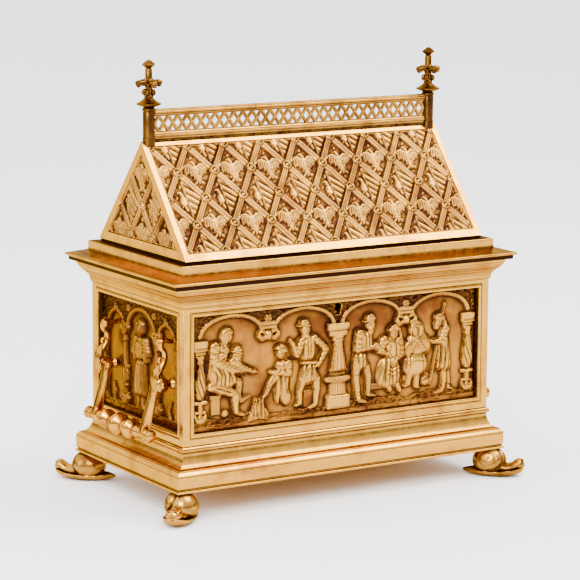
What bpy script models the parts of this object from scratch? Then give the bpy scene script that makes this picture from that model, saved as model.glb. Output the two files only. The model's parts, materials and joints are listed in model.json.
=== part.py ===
"""Gilt-brass casket in the form of a house-shaped reliquary.

Metres, +Z up. The long side with the keyhole faces -Y. The origin is on the
ground under the middle of the casket.
"""

import math

import bmesh
import bpy
import numpy as np
from mathutils import Matrix, Vector

# Driving dimensions
BODY_LENGTH = 0.200
BODY_WIDTH = 0.104
GAP = 0.0003

FOOT_HEIGHT = 0.016
FOOT_LENGTH = 0.0368
FOOT_HALF_WIDTH = 0.0086
SHELL_LENGTH = 0.0205
SHELL_WIDTH = 0.0182
FOOT_INSET = 0.0072

FLOOR_THICKNESS = 0.0015
FLOOR_PROUD = 0.0075
PLINTH_HEIGHT = 0.0216
PLINTH_SLAB = 0.0081
PLINTH_PROUD = 0.0072
TORUS_PROUD = 0.0013
TORUS_HEIGHT = 0.0028

WALL = 0.0043
PANEL_THICKNESS = 0.0012
STILE = 0.0069
WINDOW_SILL = 0.0065
WINDOW_HEIGHT = 0.0636
TOP_RAIL = 0.0047
BEAD_WIDTH = 0.0021
BEAD_DEPTH = 0.0008
PANEL_LAP = 0.0015
SIDE_PANEL_LAP = 0.0008

CORNICE_HEIGHT = 0.0115
CORNICE_PROUD = 0.0065

LID_HEIGHT = 0.0114
LID_INSET = 0.0059
LID_LIP_PROUD = 0.0097
LID_LIP_HEIGHT = 0.0024
FLANGE_PROUD = 0.0114
FLANGE_EDGE = 0.0014
STEP_PROUD = 0.0015
STEP_HEIGHT = 0.0049
CURB_INSET = 0.0039
CURB_HEIGHT = 0.0011

ROOF_INSET = 0.0029
GABLE_INSET = 0.0032
ROOF_RISE = 0.0593
ROOF_SHEET = 0.0016
EAVES_BORDER = 0.0050
RIDGE_BORDER = 0.0036
VERGE_BORDER = 0.0036
GABLE_BORDER = 0.0044
ROOF_LAP = 0.0012
GABLE_LAP = 0.0009
LATTICE_COLUMNS = 8
LATTICE_ROWS = 4
LATTICE_BAND = 0.0034
LATTICE_TOP = 0.0016
LATTICE_FLOOR = 0.0006
LATTICE_RIM = 0.0006
GABLE_PITCH = 0.0252
GABLE_ROW = 0.0162
GABLE_FIRST_ROW = 0.0022

POST_INSET = 0.0050
POST_WIDTH = 0.0056
POST_HEIGHT = 0.0183
FINIAL_HEIGHT = 0.0259
FINIAL_SPAN = 0.0150
KNOP_RADIUS = 0.00675
CREST_SLIT = 0.0012
CREST_HEIGHT = 0.0161
CREST_PITCH = 0.00587
CREST_THICKNESS = 0.0016
CREST_RAIL_DEPTH = 0.0034
CREST_TOP_RAIL = 0.0040
CREST_BOTTOM_RAIL = 0.0040

PIVOT_OUT = 0.0030
PIVOT_HEIGHT = 0.0710
GRIP_OUT = 0.0108
GRIP_DROP = 0.0272
GRIP_END = 0.0103
GRIP_RADIUS = 0.0064
ARM_INSET = 0.0245
ARM_THICKNESS = 0.0034
ARM_WIDTH = 0.0054
PIN_RADIUS = 0.0013
PIN_LENGTH = 0.0040
PIN_CLEARANCE = 0.0004
BARREL_RADIUS = 0.0042
BARREL_LENGTH = 0.0068
BRACKET_RISE = 0.0232
BRACKET_FOOT = 0.0024
SCROLL_RADIUS = 0.0026
LEAF_HEIGHT = 0.0158
LEAF_HALF_WIDTH = 0.0036
LEAF_OUT = 0.0080

KEY_RADIUS = 0.0025
KEY_SLOT = 0.0013
KEY_DROP = 0.0042
KEY_TOP_MARGIN = 0.0007

HINGE_X = 0.060
HINGE_LENGTH = 0.022
HINGE_RADIUS = 0.0019
HINGE_PIN_RADIUS = 0.0008
HINGE_LEAF = 0.0010
HINGE_LEAF_DEPTH = 0.0090
HINGE_CLEARANCE = 0.0004

# Heights, from the ground up
FLOOR_TOP = FOOT_HEIGHT + FLOOR_THICKNESS
PLINTH_BASE = FLOOR_TOP + GAP
PLINTH_TOP = PLINTH_BASE + PLINTH_HEIGHT
BODY_BASE = PLINTH_TOP + GAP
BODY_TOP = BODY_BASE + WINDOW_SILL + WINDOW_HEIGHT + TOP_RAIL
CORNICE_BASE = BODY_TOP + GAP
CORNICE_TOP = CORNICE_BASE + CORNICE_HEIGHT
LID_BASE = CORNICE_TOP + GAP
LID_TOP = LID_BASE + LID_HEIGHT
EAVES = LID_TOP + CURB_HEIGHT + GAP
RIDGE = EAVES + ROOF_RISE

HALF_LENGTH = BODY_LENGTH / 2
HALF_WIDTH = BODY_WIDTH / 2
RECESS = WALL + GAP
WINDOW_BASE = BODY_BASE + WINDOW_SILL
FRONT_WINDOW = HALF_LENGTH - STILE
SIDE_WINDOW = HALF_WIDTH - STILE
ROOF_HALF = HALF_WIDTH - ROOF_INSET
GABLE_X = HALF_LENGTH - GABLE_INSET
POST_X = GABLE_X - POST_INSET
ROOF_ANGLE = math.atan2(ROOF_RISE, ROOF_HALF)
SLOPE_LENGTH = math.hypot(ROOF_RISE, ROOF_HALF)
PIVOT_X = HALF_LENGTH + PIVOT_OUT
ARM_Y = HALF_WIDTH - ARM_INSET
GRIP_HALF_LENGTH = ARM_Y + GRIP_END
HINGE_Y = HALF_WIDTH + CORNICE_PROUD + HINGE_CLEARANCE + HINGE_RADIUS
HINGE_Z = (CORNICE_TOP + LID_BASE) / 2

# The carving is drawn on a window this many units high
DRAWN_HEIGHT = 63.6
UNIT = WINDOW_HEIGHT / DRAWN_HEIGHT
CARVED_HEIGHT = (WINDOW_HEIGHT - 2 * GAP) / UNIT
NICHE = 0.5
CARVING_STEP = 0.9


def clear_scene():
    for item in list(bpy.data.objects):
        bpy.data.objects.remove(item, do_unlink=True)


def brass(name, color, roughness):
    material = bpy.data.materials.new(name)
    material.use_nodes = True
    shader = material.node_tree.nodes["Principled BSDF"]
    shader.inputs["Base Color"].default_value = (*color, 1.0)
    shader.inputs["Metallic"].default_value = 1.0
    shader.inputs["Roughness"].default_value = roughness
    return material


def add_object(name, mesh, material=None, parent=None):
    item = bpy.data.objects.new(name, mesh)
    bpy.context.collection.objects.link(item)
    if material:
        mesh.materials.append(material)
    if parent:
        item.parent = parent
        item.matrix_parent_inverse = Matrix.Translation(-parent.location)
    return item


def add_axis(name, place):
    empty = bpy.data.objects.new(name, None)
    empty.location = place
    bpy.context.collection.objects.link(empty)
    return empty


def mesh_from(name, points, faces):
    mesh = bpy.data.meshes.new(name)
    mesh.from_pydata([tuple(p) for p in points], [], faces)
    shell = bmesh.new()
    shell.from_mesh(mesh)
    bmesh.ops.recalc_face_normals(shell, faces=shell.faces)
    shell.to_mesh(mesh)
    shell.free()
    return mesh


def loft(name, loops):
    """A closed solid through loops of equal length, capped at both ends."""
    count = len(loops[0])
    points = [p for loop in loops for p in loop]
    faces = [tuple(range(count))[::-1]]
    for ring in range(len(loops) - 1):
        for i in range(count):
            a, b = ring * count + i, ring * count + (i + 1) % count
            faces.append((a, b, b + count, a + count))
    last = (len(loops) - 1) * count
    faces.append(tuple(range(last, last + count)))
    return mesh_from(name, points, faces)


def turned(name, profile, segments, frame):
    """A turned solid; profile holds (radius, distance) along the frame's third axis."""
    loops = []
    for radius, along in profile:
        loop = []
        for i in range(segments):
            angle = 2 * math.pi * (i + 0.5) / segments
            loop.append(frame @ Vector((radius * math.cos(angle), radius * math.sin(angle), along)))
        loops.append(loop)
    return loft(name, loops)


def smooth(mesh, angle=40):
    mesh.shade_smooth()
    mesh.set_sharp_from_angle(angle=math.radians(angle))
    return mesh


def quarter(start, end, hollow, steps=3):
    """Points along a quarter ellipse from start to end; a hollow one leaves start sideways."""
    points = []
    for i in range(steps + 1):
        angle = math.pi / 2 * i / steps
        across, along = math.sin(angle), 1 - math.cos(angle)
        if not hollow:
            across, along = along, across
        points.append((start[0] + (end[0] - start[0]) * across, start[1] + (end[1] - start[1]) * along))
    return points


def mitred_ring(name, section):
    """A rectangular ring round the body; section holds (proud of the body face, height)."""
    corners = ((-1, -1), (1, -1), (1, 1), (-1, 1))
    count = len(section)
    points = []
    for sx, sy in corners:
        for proud, height in section:
            points.append((sx * (HALF_LENGTH + proud), sy * (HALF_WIDTH + proud), height))
    faces = []
    for corner in range(4):
        here, there = corner * count, (corner + 1) % 4 * count
        for i in range(count):
            j = (i + 1) % count
            faces.append((here + i, there + i, there + j, here + j))
    return mesh_from(name, points, faces)


def face_frame(origin, across, up):
    """Local x runs across a face, y up it and z out of it."""
    across, up = Vector(across).normalized(), Vector(up).normalized()
    out = across.cross(up)
    frame = Matrix((across, up, out)).transposed().to_4x4()
    return Matrix.Translation(Vector(origin)) @ frame


def rectangle(frame, half_width, low, high, out):
    corners = ((-half_width, low), (half_width, low), (half_width, high), (-half_width, high))
    return [frame @ Vector((x, y, out)) for x, y in corners]


def cut(item, mesh, operation="DIFFERENCE"):
    """Cut or join a hidden helper shape."""
    helper = add_object(f"{item.name}_{operation.lower()}_{len(item.modifiers)}", mesh)
    helper.hide_render = True
    helper.display_type = "WIRE"
    step = item.modifiers.new(helper.name, "BOOLEAN")
    step.operation = operation
    step.object = helper
    return helper


# Carving: a height field over a window, in drawing units

def dome(distance):
    return np.sqrt(np.clip(1 - distance ** 2, 0, 1))


class Carving:
    """x runs across from the middle of the window, y up from its bottom edge, h outward."""

    def __init__(self, half_width, height):
        rows = round(height / CARVING_STEP) + 1
        columns = round(2 * half_width / CARVING_STEP) + 1
        up, across = np.linspace(0, height, rows), np.linspace(-half_width, half_width, columns)
        self.y, self.x = np.meshgrid(up, across, indexing="ij")
        self.h = np.full(self.x.shape, NICHE)

    def raise_to(self, inside, height):
        self.h = np.where(inside, np.maximum(self.h, height), self.h)

    def ball(self, x, y, rx, ry, base, rise, turn=0.0):
        c, s = math.cos(math.radians(turn)), math.sin(math.radians(turn))
        dx, dy = self.x - x, self.y - y
        distance = np.hypot((dx * c + dy * s) / rx, (dy * c - dx * s) / ry)
        self.raise_to(distance < 1, base + rise * dome(distance))

    def limb(self, a, b, ra, rb, base, rise):
        dx, dy = b[0] - a[0], b[1] - a[1]
        along = np.clip(((self.x - a[0]) * dx + (self.y - a[1]) * dy) / (dx * dx + dy * dy), 0, 1)
        distance = np.hypot(self.x - a[0] - along * dx, self.y - a[1] - along * dy)
        distance = distance / (ra + (rb - ra) * along)
        self.raise_to(distance < 1, base + rise * dome(distance))

    def chain(self, points, radii, base, rise):
        for a, b, ra, rb in zip(points, points[1:], radii, radii[1:]):
            self.limb(a, b, ra, rb, base, rise)

    def robe(self, top, bottom, top_half, bottom_half, base, rise, folds=3, depth=0.35):
        """Cloth hanging from top to bottom, with folds that deepen downward."""
        along = (top[1] - self.y) / (top[1] - bottom[1])
        middle = top[0] + (bottom[0] - top[0]) * along
        half = top_half + (bottom_half - top_half) * along
        across = (self.x - middle) / half
        inside = (along >= 0) & (along <= 1) & (np.abs(across) < 1)
        fold = depth * np.cos(math.pi * folds * across) * np.clip(along, 0, 1)
        self.raise_to(inside, base + rise * np.clip(1 - across ** 4, 0, 1) ** 0.5 + fold)

    def block(self, x0, x1, y0, y1, height):
        self.raise_to((self.x > x0) & (self.x < x1) & (self.y > y0) & (self.y < y1), height)

    def shaft(self, x, profile, base, rise, flutes=0, twist=0.0):
        """An upright turned shape; profile holds (height, half width) upward."""
        heights, halves = zip(*profile)
        half = np.interp(self.y, heights, halves)
        across = (self.x - x) / half
        inside = (self.y >= heights[0]) & (self.y <= heights[-1]) & (np.abs(across) < 1)
        groove = 0.0
        if flutes:
            turn = np.arcsin(np.clip(across, -1, 1)) / math.pi * flutes + twist * self.y
            groove = 0.3 * np.cos(2 * math.pi * turn)
        self.raise_to(inside, base + rise * dome(across) + groove)

    def arch(self, x, half_span, spring, crown, band, rise):
        """A half-elliptical arch band over a niche."""
        dx, dy, rise_to = self.x - x, self.y - spring, crown - spring
        outer = np.hypot(dx / (half_span + band / 2), dy / (rise_to + band / 2))
        inner = np.hypot(dx / (half_span - band / 2), dy / (rise_to - band / 2))
        self.raise_to((outer < 1) & (inner > 1) & (self.y > spring), rise)
        return (inner < 1) | (self.y < spring)


    def soften(self):
        """Rounds the stepped edges of the field, so that its faces can be few and clean."""
        for axis in (0, 1):
            ahead, behind = np.roll(self.h, 1, axis), np.roll(self.h, -1, axis)
            softened = (ahead + 2 * self.h + behind) / 4
            inside = np.ones(self.h.shape, bool)
            inside[[0, -1], :] = inside[:, [0, -1]] = False
            self.h = np.where(inside, softened, self.h)


def wall_above(carving, arches, spring, height):
    """The flat spandrels between and above the arches."""
    open_niche = np.zeros(carving.x.shape, bool)
    for x, half_span, arch_spring, crown in (arch[:4] for arch in arches):
        ring = np.hypot((carving.x - x) / half_span, (carving.y - arch_spring) / (crown - arch_spring))
        open_niche |= ring < 1
    carving.raise_to((carving.y > spring) & ~open_niche, height)


def rough_ground(carving, height):
    """Tussocky ground along the bottom of a scene."""
    top = height + 0.8 * np.sin(carving.x * 0.55) + 0.5 * np.sin(carving.x * 1.3 + 1.0)
    carving.raise_to(carving.y < top, 1.1 + 0.3 * np.sin(carving.x * 1.1) * np.sin(carving.y * 1.4))


def figure(carving, x, head, body, robes=(), arms=(), legs=(), hat=None, beard=0, head_radius=3.3):
    """One person. Points are (across from x, up); legs and arms are chains of joints."""

    def put(point):
        return (x + point[0], point[1])

    for points in legs:
        carving.chain([put(p) for p in points], (2.6, 2.1, 1.6, 1.5)[:len(points)], 0.7, 1.3)
    for top, bottom, top_half, bottom_half, folds in robes:
        carving.robe(put(top), put(bottom), top_half, bottom_half, 0.9, 1.0, folds)
    carving.limb(put(body[0]), put(body[1]), body[2], body[3], 0.9, 1.7)
    for points in arms:
        carving.chain([put(p) for p in points], (2.5, 2.1, 1.5)[:len(points)], 1.4, 1.2)
    hx, hy = put(head)
    carving.limb((hx, hy), put(body[0]), head_radius * 0.6, 1.8, 0.8, 1.2)
    carving.ball(hx, hy, head_radius * 0.82, head_radius, 1.3, 1.6)
    if beard:
        carving.ball(hx + beard, hy - head_radius * 0.9, 1.9, 2.3, 1.3, 1.4)
    if hat == "brim":
        carving.limb((hx - 4.6, hy + 2.2), (hx + 4.6, hy + 3.0), 1.0, 1.0, 1.8, 1.0)
        carving.ball(hx, hy + 3.4, 3.3, 2.2, 1.6, 1.3)
    if hat == "hood":
        carving.ball(hx - 0.4, hy + 0.2, head_radius * 1.15, head_radius * 1.3, 1.0, 1.1)
    if hat == "cap":
        carving.ball(hx, hy + 1.6, head_radius * 1.05, 2.4, 1.5, 1.5)


def baluster_column(carving, x, low, high):
    """The large middle column, from its plain block up to its capital."""
    carving.block(x - 7.2, x + 7.2, low, low + 7.0, 2.7)
    carving.shaft(x, ((low + 7, 5.8), (low + 15, 5.8)), 1.0, 1.7, flutes=9)
    carving.shaft(x, ((low + 15, 6.4), (low + 16.5, 8.9), (low + 18, 8.6)), 1.2, 1.7, flutes=14)
    carving.shaft(x, ((low + 20, 5.6), (low + 23, 5.3), (low + 37, 2.8)), 1.1, 1.7, flutes=6)
    carving.shaft(x, ((low + 37, 3.6), (low + 40, 3.9)), 1.3, 1.6)
    carving.block(x - 5.4, x + 5.4, low + 40.5, low + 43.5, 2.6)
    carving.block(x - 6.7, x + 6.7, low + 43.5, high, 2.9)


def twisted_column(carving, x, low, high, half=3.4):
    """A half column at the end of an arcade, with a leafy foot and a twisted shaft."""
    for side in (-1, 1):
        carving.ball(x + side * 2.4, low + 3.4, 2.3, 3.0, 1.0, 1.2, turn=30 * side)
    carving.block(x - half, x + half, low + 8, low + 9.6, 2.0)
    carving.block(x - half * 0.5, x + half * 0.5, low + 9.6, low + 15, 1.9)
    profile = ((low + 15, half * 0.55), (low + 21, half * 1.15), (low + 33, half * 0.6))
    carving.shaft(x, profile, 0.9, 1.5, flutes=3, twist=0.11)
    carving.block(x - half * 0.8, x + half * 0.8, low + 34, low + 38, 2.2)
    carving.block(x - half * 1.3, x + half * 1.3, low + 38.5, high, 2.5)


def mask_corbel(carving, x, y):
    """A small head between two leaves, under the meeting of two arches."""
    for side in (-1, 1):
        carving.ball(x + side * 4.0, y + 0.6, 4.2, 1.8, 0.8, 1.1, turn=-18 * side)
    carving.ball(x, y, 2.9, 3.2, 1.0, 1.7)
    carving.block(x - 2.2, x + 2.2, y + 3.0, y + 7.0, 2.0)


def flames(carving, x, low):
    for i in range(5):
        tip = low + 12.5 - 1.6 * abs(i - 2)
        place = (x + 1.5 * (i - 2) + math.sin(i * 2.1), tip)
        carving.limb((x + 2.2 * (i - 2), low), place, 1.8, 0.4, 0.9, 1.2)


def arcade(carving, arches, spring):
    for arch in arches:
        carving.arch(*arch, 1.7)
    wall_above(carving, arches, spring, 1.2)


def front_scene(half_width):
    """Four arches over two scenes of travellers at a fire and at an inn bench."""
    carving = Carving(half_width, CARVED_HEIGHT)
    outer, inner = 0.735 * half_width, 0.240 * half_width
    arches = [(x, 19.2, 51.0, 60.6, 2.6) for x in (-outer, -inner, inner, outer)]
    arcade(carving, arches, 51.0)
    rough_ground(carving, 4.0)
    baluster_column(carving, 0.0, 3.2, 51.2)
    for side in (-1, 1):
        twisted_column(carving, side * (half_width - 4.6), 3.2, 49.8)
        mask_corbel(carving, side * (outer + inner) / 2, 48.6)
    woman = dict(head=(-3.0, 50.5), body=((-6.0, 45.0), (-9.0, 33.0), 4.4, 5.0), hat="hood")
    figure(carving, -outer, robes=[((-9.5, 38), (-13.5, 14), 4.6, 4.2, 2)],
           arms=[[(-7, 43), (-5, 39), (0, 38)]], **woman)
    figure(carving, -outer, head=(2.4, 39.8), body=((-3.5, 35.5), (-9.5, 24.0), 6.2, 6.6), beard=1.6,
           robes=[((-4, 33), (-2, 18), 8.5, 9.0, 4)],
           arms=[[(-1, 34), (8, 26), (15.5, 27.5)], [(-4, 33), (4, 22), (12, 25)]],
           legs=[[(-12, 22), (3, 18.5), (6, 6.5), (12, 4.2)], [(0, 22), (6.5, 17), (9, 12), (14.5, 14)]],
           hat="cap")
    flames(carving, -outer + 17.0, 4.0)
    carving.block(-outer - 13.5, -outer - 8.0, 6.5, 17.0, 1.7)
    figure(carving, -inner, head=(-13.5, 38.7), body=((-11.5, 33.5), (-9.5, 23.5), 4.2, 4.8),
           arms=[[(-13, 33), (-14, 27.5), (-20, 27.8)]],
           legs=[[(-14, 23), (-20, 19), (-25, 15)], [(-12, 20), (-15, 9)], [(-8, 20), (-9.5, 9)]],
           hat="cap", head_radius=3.1)
    figure(carving, -inner, head=(0.4, 48.8), body=((3.5, 41.0), (3.5, 31.0), 4.8, 4.4),
           robes=[((2.5, 33), (2.0, 18), 5.6, 7.6, 3)],
           arms=[[(7, 41), (15, 34.5), (9.5, 28.5)], [(-1, 41), (-3.5, 36), (-8.5, 45.0)]],
           legs=[[(0, 20), (-2.5, 14.5), (-2.5, 8.5), (-5.5, 7.4)], [(6, 20), (8.5, 14), (7, 6), (3.5, 4.6)]],
           hat="brim", beard=-0.6)
    carving.block(-inner - 1.0, -inner + 6.5, 6.0, 14.5, 1.5)
    figure(carving, inner, head=(-0.8, 48.3), body=((-7.5, 43.0), (-8.0, 33.0), 4.4, 4.0),
           robes=[((-7.0, 33), (-6.0, 21), 4.6, 6.2, 2)],
           arms=[[(-9.5, 42.5), (-8.5, 36), (1.8, 35.0)]],
           legs=[[(-8.5, 30), (-9.5, 19), (-7.5, 6), (-3.5, 4)], [(-4, 29), (-1, 18), (0, 9)]],
           hat="brim", beard=1.2)
    figure(carving, inner, head=(14.4, 41.8), body=((13.5, 36.0), (15.0, 27.5), 5.0, 5.8),
           robes=[((14, 31), (12, 10.5), 7.0, 9.2, 5)],
           arms=[[(17.5, 36.0), (19.0, 29.5), (13, 26.5)], [(10, 35.5), (6, 33), (10, 31)]],
           legs=[[(10, 13), (12.5, 9.5)], [(16, 13), (17.5, 9.5)]], hat="cap")
    carving.ball(inner + 13.5, 26.5, 2.6, 2.6, 1.8, 1.0)
    figure(carving, outer, head=(-16.0, 43.5), body=((-15.5, 37.5), (-15.5, 30.0), 5.4, 6.2),
           robes=[((-15.5, 33), (-15.0, 15.5), 7.6, 8.6, 3)],
           arms=[[(-20, 38), (-20, 31), (-16.2, 35)], [(-11, 38), (-10, 31), (-15, 35)]],
           legs=[[(-20, 17), (-21.5, 12), (-21.5, 8.5)], [(-15, 17), (-14.5, 12), (-16, 8)]],
           hat="hood", head_radius=3.0)
    figure(carving, outer, head=(-0.6, 46.8), body=((2.2, 41.5), (2.2, 32.0), 4.2, 4.4), beard=-1.0,
           robes=[((2.2, 40), (2.8, 16.0), 4.2, 6.6, 3)],
           arms=[[(3.2, 41), (2.0, 34.5), (-5, 34.8)]],
           legs=[[(1.5, 17), (2.0, 9), (2.0, 6), (-2.5, 4.2)]], hat="cap")
    carving.limb((outer + 3.6, 55.5), (outer - 5.6, 9.5), 0.7, 0.7, 1.2, 0.8)
    return carving


def back_scene(half_width):
    """The plainer back: the same arcade with one robed figure in each arch."""
    carving = Carving(half_width, CARVED_HEIGHT)
    outer, inner = 0.735 * half_width, 0.240 * half_width
    arches = [(x, 19.2, 51.0, 60.6, 2.6) for x in (-outer, -inner, inner, outer)]
    arcade(carving, arches, 51.0)
    rough_ground(carving, 4.0)
    baluster_column(carving, 0.0, 3.2, 51.2)
    for side in (-1, 1):
        twisted_column(carving, side * (half_width - 4.6), 3.2, 49.8)
        mask_corbel(carving, side * (outer + inner) / 2, 48.6)
    places = ((-outer, 1, "hood"), (-inner, -1, "cap"), (inner, 1, "brim"), (outer, -1, "hood"))
    for place, lean, hat in places:
        robed_figure(carving, place, lean, hat)
    return carving


def robed_figure(carving, x, lean, hat):
    """A standing figure in a long gown with folded hands."""

    def turned_to(*points):
        return [(lean * px, py) for px, py in points]

    head, neck, hip, hem, shoulder, elbow, hand, foot = turned_to(
        (0.6, 49.0), (0.2, 42.0), (0, 31.0), (-0.6, 8.0), (4.4, 41.5), (6.4, 34.0), (0.8, 33.5), (2.0, 6.0))
    figure(carving, x, head=head, body=(neck, hip, 4.6, 4.6), hat=hat, robes=[(hip, hem, 5.0, 8.0, 5)],
           arms=[[shoulder, elbow, hand], [(-shoulder[0], shoulder[1]), (-elbow[0], elbow[1]), hand]],
           legs=[[hem, foot]])


def side_scene(half_width):
    """Three arches on a short side, with a figure standing in the middle one."""
    carving = Carving(half_width, CARVED_HEIGHT)
    wing = 0.63 * half_width
    arches = [(0.0, 16.5, 44.0, 59.5, 2.2)]
    arches += [(side * wing, 9.4, 44.0, 55.0, 1.8) for side in (-1, 1)]
    arcade(carving, arches, 44.0)
    carving.block(-half_width, half_width, 0, 3.2, 1.4)
    for side in (-1, 1):
        slim_column(carving, side * 18.2, 3.6, 50.0)
        carving.block(side * (half_width - 2.6) - 2.6, side * (half_width - 2.6) + 2.6, 44.0, 48.6, 2.0)
        carving.ball(side * wing, 57.0, 0.9, 2.2, 1.2, 0.9)
    figure(carving, 0.0, head=(0.0, 48.8), body=((0, 42.0), (0, 33.0), 5.4, 5.0), hat="hood",
           robes=[((0, 34), (0, 10.0), 5.0, 6.0, 4)], head_radius=3.4,
           arms=[[(-5.0, 41), (-6.8, 35), (1.5, 32.0)], [(5.0, 41), (6.8, 35), (-1.5, 32.0)]],
           legs=[[(-2.4, 11), (-2.6, 4.5)], [(2.4, 11), (2.6, 4.5)]])
    return carving


def slim_column(carving, x, low, high):
    for side in (-1, 0, 1):
        carving.ball(x + side * 3.0, low + 2.4, 1.9, 2.6, 0.9, 1.3)
    carving.shaft(x, ((low + 4, 1.6), (low + 9, 1.2)), 1.0, 1.2)
    carving.block(x - 3.8, x + 3.8, low + 9.4, low + 10.8, 2.1)
    carving.shaft(x, ((low + 11, 1.6), (low + 15, 2.8), (low + 21, 3.2)), 1.0, 1.5)
    carving.block(x - 3.6, x + 3.6, low + 21, low + 22.6, 2.2)
    carving.shaft(x, ((low + 22.6, 1.3), (low + 37, 1.1)), 1.0, 1.2)
    carving.ball(x, low + 37.5, 2.0, 1.2, 1.2, 1.2)
    carving.block(x - 2.4, x + 2.4, low + 39, low + 42, 2.2)
    carving.block(x - 4.0, x + 4.0, low + 42, high, 2.5)


def clipped(polygon, region):
    """The part of a polygon inside a convex region; both run anticlockwise."""
    for a, b in zip(region, region[1:] + region[:1]):
        kept = []
        for p, q in zip(polygon, polygon[1:] + polygon[:1]):
            side_p = (b[0] - a[0]) * (p[1] - a[1]) - (b[1] - a[1]) * (p[0] - a[0])
            side_q = (b[0] - a[0]) * (q[1] - a[1]) - (b[1] - a[1]) * (q[0] - a[0])
            if side_p >= 0:
                kept.append(p)
            if side_p * side_q < 0:
                share = side_p / (side_p - side_q)
                kept.append((p[0] + (q[0] - p[0]) * share, p[1] + (q[1] - p[1]) * share))
        polygon = kept
        if not polygon:
            return []
    return polygon


def wide_enough(polygon, least):
    xs, ys = zip(*polygon)
    return max(xs) - min(xs) > least and max(ys) - min(ys) > least


def bird_outline(x, y, reach, drop):
    """A displayed bird seen as a kite: head, wings spread downward and tail."""
    shape = ((0, 0.72), (-0.30, 0.34), (-0.62, -0.06), (0, -0.72), (0.62, -0.06), (0.30, 0.34))
    return [(x + reach * a, y + drop * b) for a, b in shape]


def lattice_block(name, outline, region, pitch, row, first, birds, frame, base):
    """A block with sunk lozenges between crossing bands; sizes are metres from the middle of the base."""
    block = bmesh.new()
    band = LATTICE_BAND / 2
    shrink = 1 - band * math.hypot(pitch / 2, row) / (pitch / 2 * row)
    reach, drop = shrink * pitch / 2, shrink * row

    def ring(points, height):
        verts = [block.verts.new((x, base + y, height)) for x, y in points]
        return verts, [block.edges.new((a, b)) for a, b in zip(verts, verts[1:] + verts[:1])]

    def wall(upper, lower):
        for i in range(len(upper)):
            j = (i + 1) % len(upper)
            block.faces.new((upper[i], upper[j], lower[j], lower[i]))

    top, edges = ring(outline, LATTICE_TOP)
    foot = ring(outline, -PANEL_THICKNESS / 2)[0]
    wall(top, foot)
    block.faces.new(foot)
    high = max(y for x, y in outline)
    for j in range(-1, int(high / row) + 3):
        for i in range(-LATTICE_COLUMNS, LATTICE_COLUMNS + 1):
            x, y = (i + 0.5 * (j % 2) + 0.5) * pitch, first + j * row
            lozenge = [(x - reach, y), (x, y - drop), (x + reach, y), (x, y + drop)]
            sunk = clipped(lozenge, region)
            if not sunk or not wide_enough(sunk, LATTICE_BAND):
                continue
            rim, rim_edges = ring(sunk, LATTICE_TOP)
            edges += rim_edges
            floor, floor_edges = ring(sunk, LATTICE_FLOOR)
            wall(rim, floor)
            if not birds or sunk != lozenge:
                block.faces.new(floor)
                continue
            bird, bird_edges = ring(bird_outline(x, y, reach, drop), LATTICE_FLOOR)
            peak = block.verts.new((x, base + y, LATTICE_TOP - 0.0002))
            for a, b in zip(bird, bird[1:] + bird[:1]):
                block.faces.new((a, b, peak))
            bmesh.ops.triangle_fill(block, use_beauty=True, edges=floor_edges + bird_edges)
    bmesh.ops.triangle_fill(block, use_beauty=True, edges=edges)
    bmesh.ops.recalc_face_normals(block, faces=block.faces)
    block.transform(frame)
    mesh = bpy.data.meshes.new(name)
    block.to_mesh(mesh)
    block.free()
    return mesh


def carved_mesh(name, carving, frame, root, base):
    """A closed block whose outer face is the carving; its back lies root below the plate's face."""
    rows, columns = carving.x.shape
    points = []
    for x, y, h in zip(carving.x.ravel(), carving.y.ravel(), carving.h.ravel()):
        points.append(frame @ Vector((x * UNIT, base + y * UNIT, h * UNIT)))
    edge = [(0, i) for i in range(columns)] + [(j, columns - 1) for j in range(1, rows)]
    edge += [(rows - 1, i) for i in range(columns - 2, -1, -1)] + [(j, 0) for j in range(rows - 2, 0, -1)]
    start = len(points)
    for j, i in edge:
        points.append(frame @ Vector((carving.x[j, i] * UNIT, base + carving.y[j, i] * UNIT, -root)))
    faces = []
    for j in range(rows - 1):
        for i in range(columns - 1):
            a = j * columns + i
            faces.append((a, a + 1, a + columns + 1, a + columns))
    total = len(edge)
    for k in range(total):
        j, i = edge[k]
        j2, i2 = edge[(k + 1) % total]
        faces.append((j * columns + i, start + k, start + (k + 1) % total, j2 * columns + i2))
    faces.append(tuple(range(start, start + total))[::-1])
    return mesh_from(name, points, faces)


def carved_panel(name, plate, carving, frame, base, triangles, material):
    """A plate behind a window with the carving standing through it."""
    panel = add_object(name, plate, material)
    carved = carved_mesh(f"{name}_carving", carving, frame, PANEL_THICKNESS / 2, base)
    helper = cut(panel, carved, "UNION")
    rows, columns = carving.x.shape
    full = 2 * (rows - 1) * (columns - 1) + 8 * (rows + columns - 2) - 2
    thin = helper.modifiers.new("fewer_faces", "DECIMATE")
    thin.ratio = triangles / full
    return panel


def body_frames():
    """The face frame of each wall panel, on the plane of the plate's face."""
    side_x, front_y = HALF_LENGTH - RECESS, HALF_WIDTH - RECESS
    return {
        "front": face_frame((0, -front_y, WINDOW_BASE), (1, 0, 0), (0, 0, 1)),
        "back": face_frame((0, front_y, WINDOW_BASE), (-1, 0, 0), (0, 0, 1)),
        "left": face_frame((-side_x, 0, WINDOW_BASE), (0, -1, 0), (0, 0, 1)),
        "right": face_frame((side_x, 0, WINDOW_BASE), (0, 1, 0), (0, 0, 1)),
    }


def build_floor(material):
    section_out = FLOOR_PROUD
    loops = []
    for proud, height in ((section_out - 0.0004, FOOT_HEIGHT), (section_out, FOOT_HEIGHT + 0.0004),
                          (section_out, FLOOR_TOP - 0.0003), (section_out - 0.0003, FLOOR_TOP)):
        half_x, half_y = HALF_LENGTH + proud, HALF_WIDTH + proud
        loops.append([(-half_x, -half_y, height), (half_x, -half_y, height),
                      (half_x, half_y, height), (-half_x, half_y, height)])
    add_object("floor_plate", loft("floor_plate", loops), material)


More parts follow.
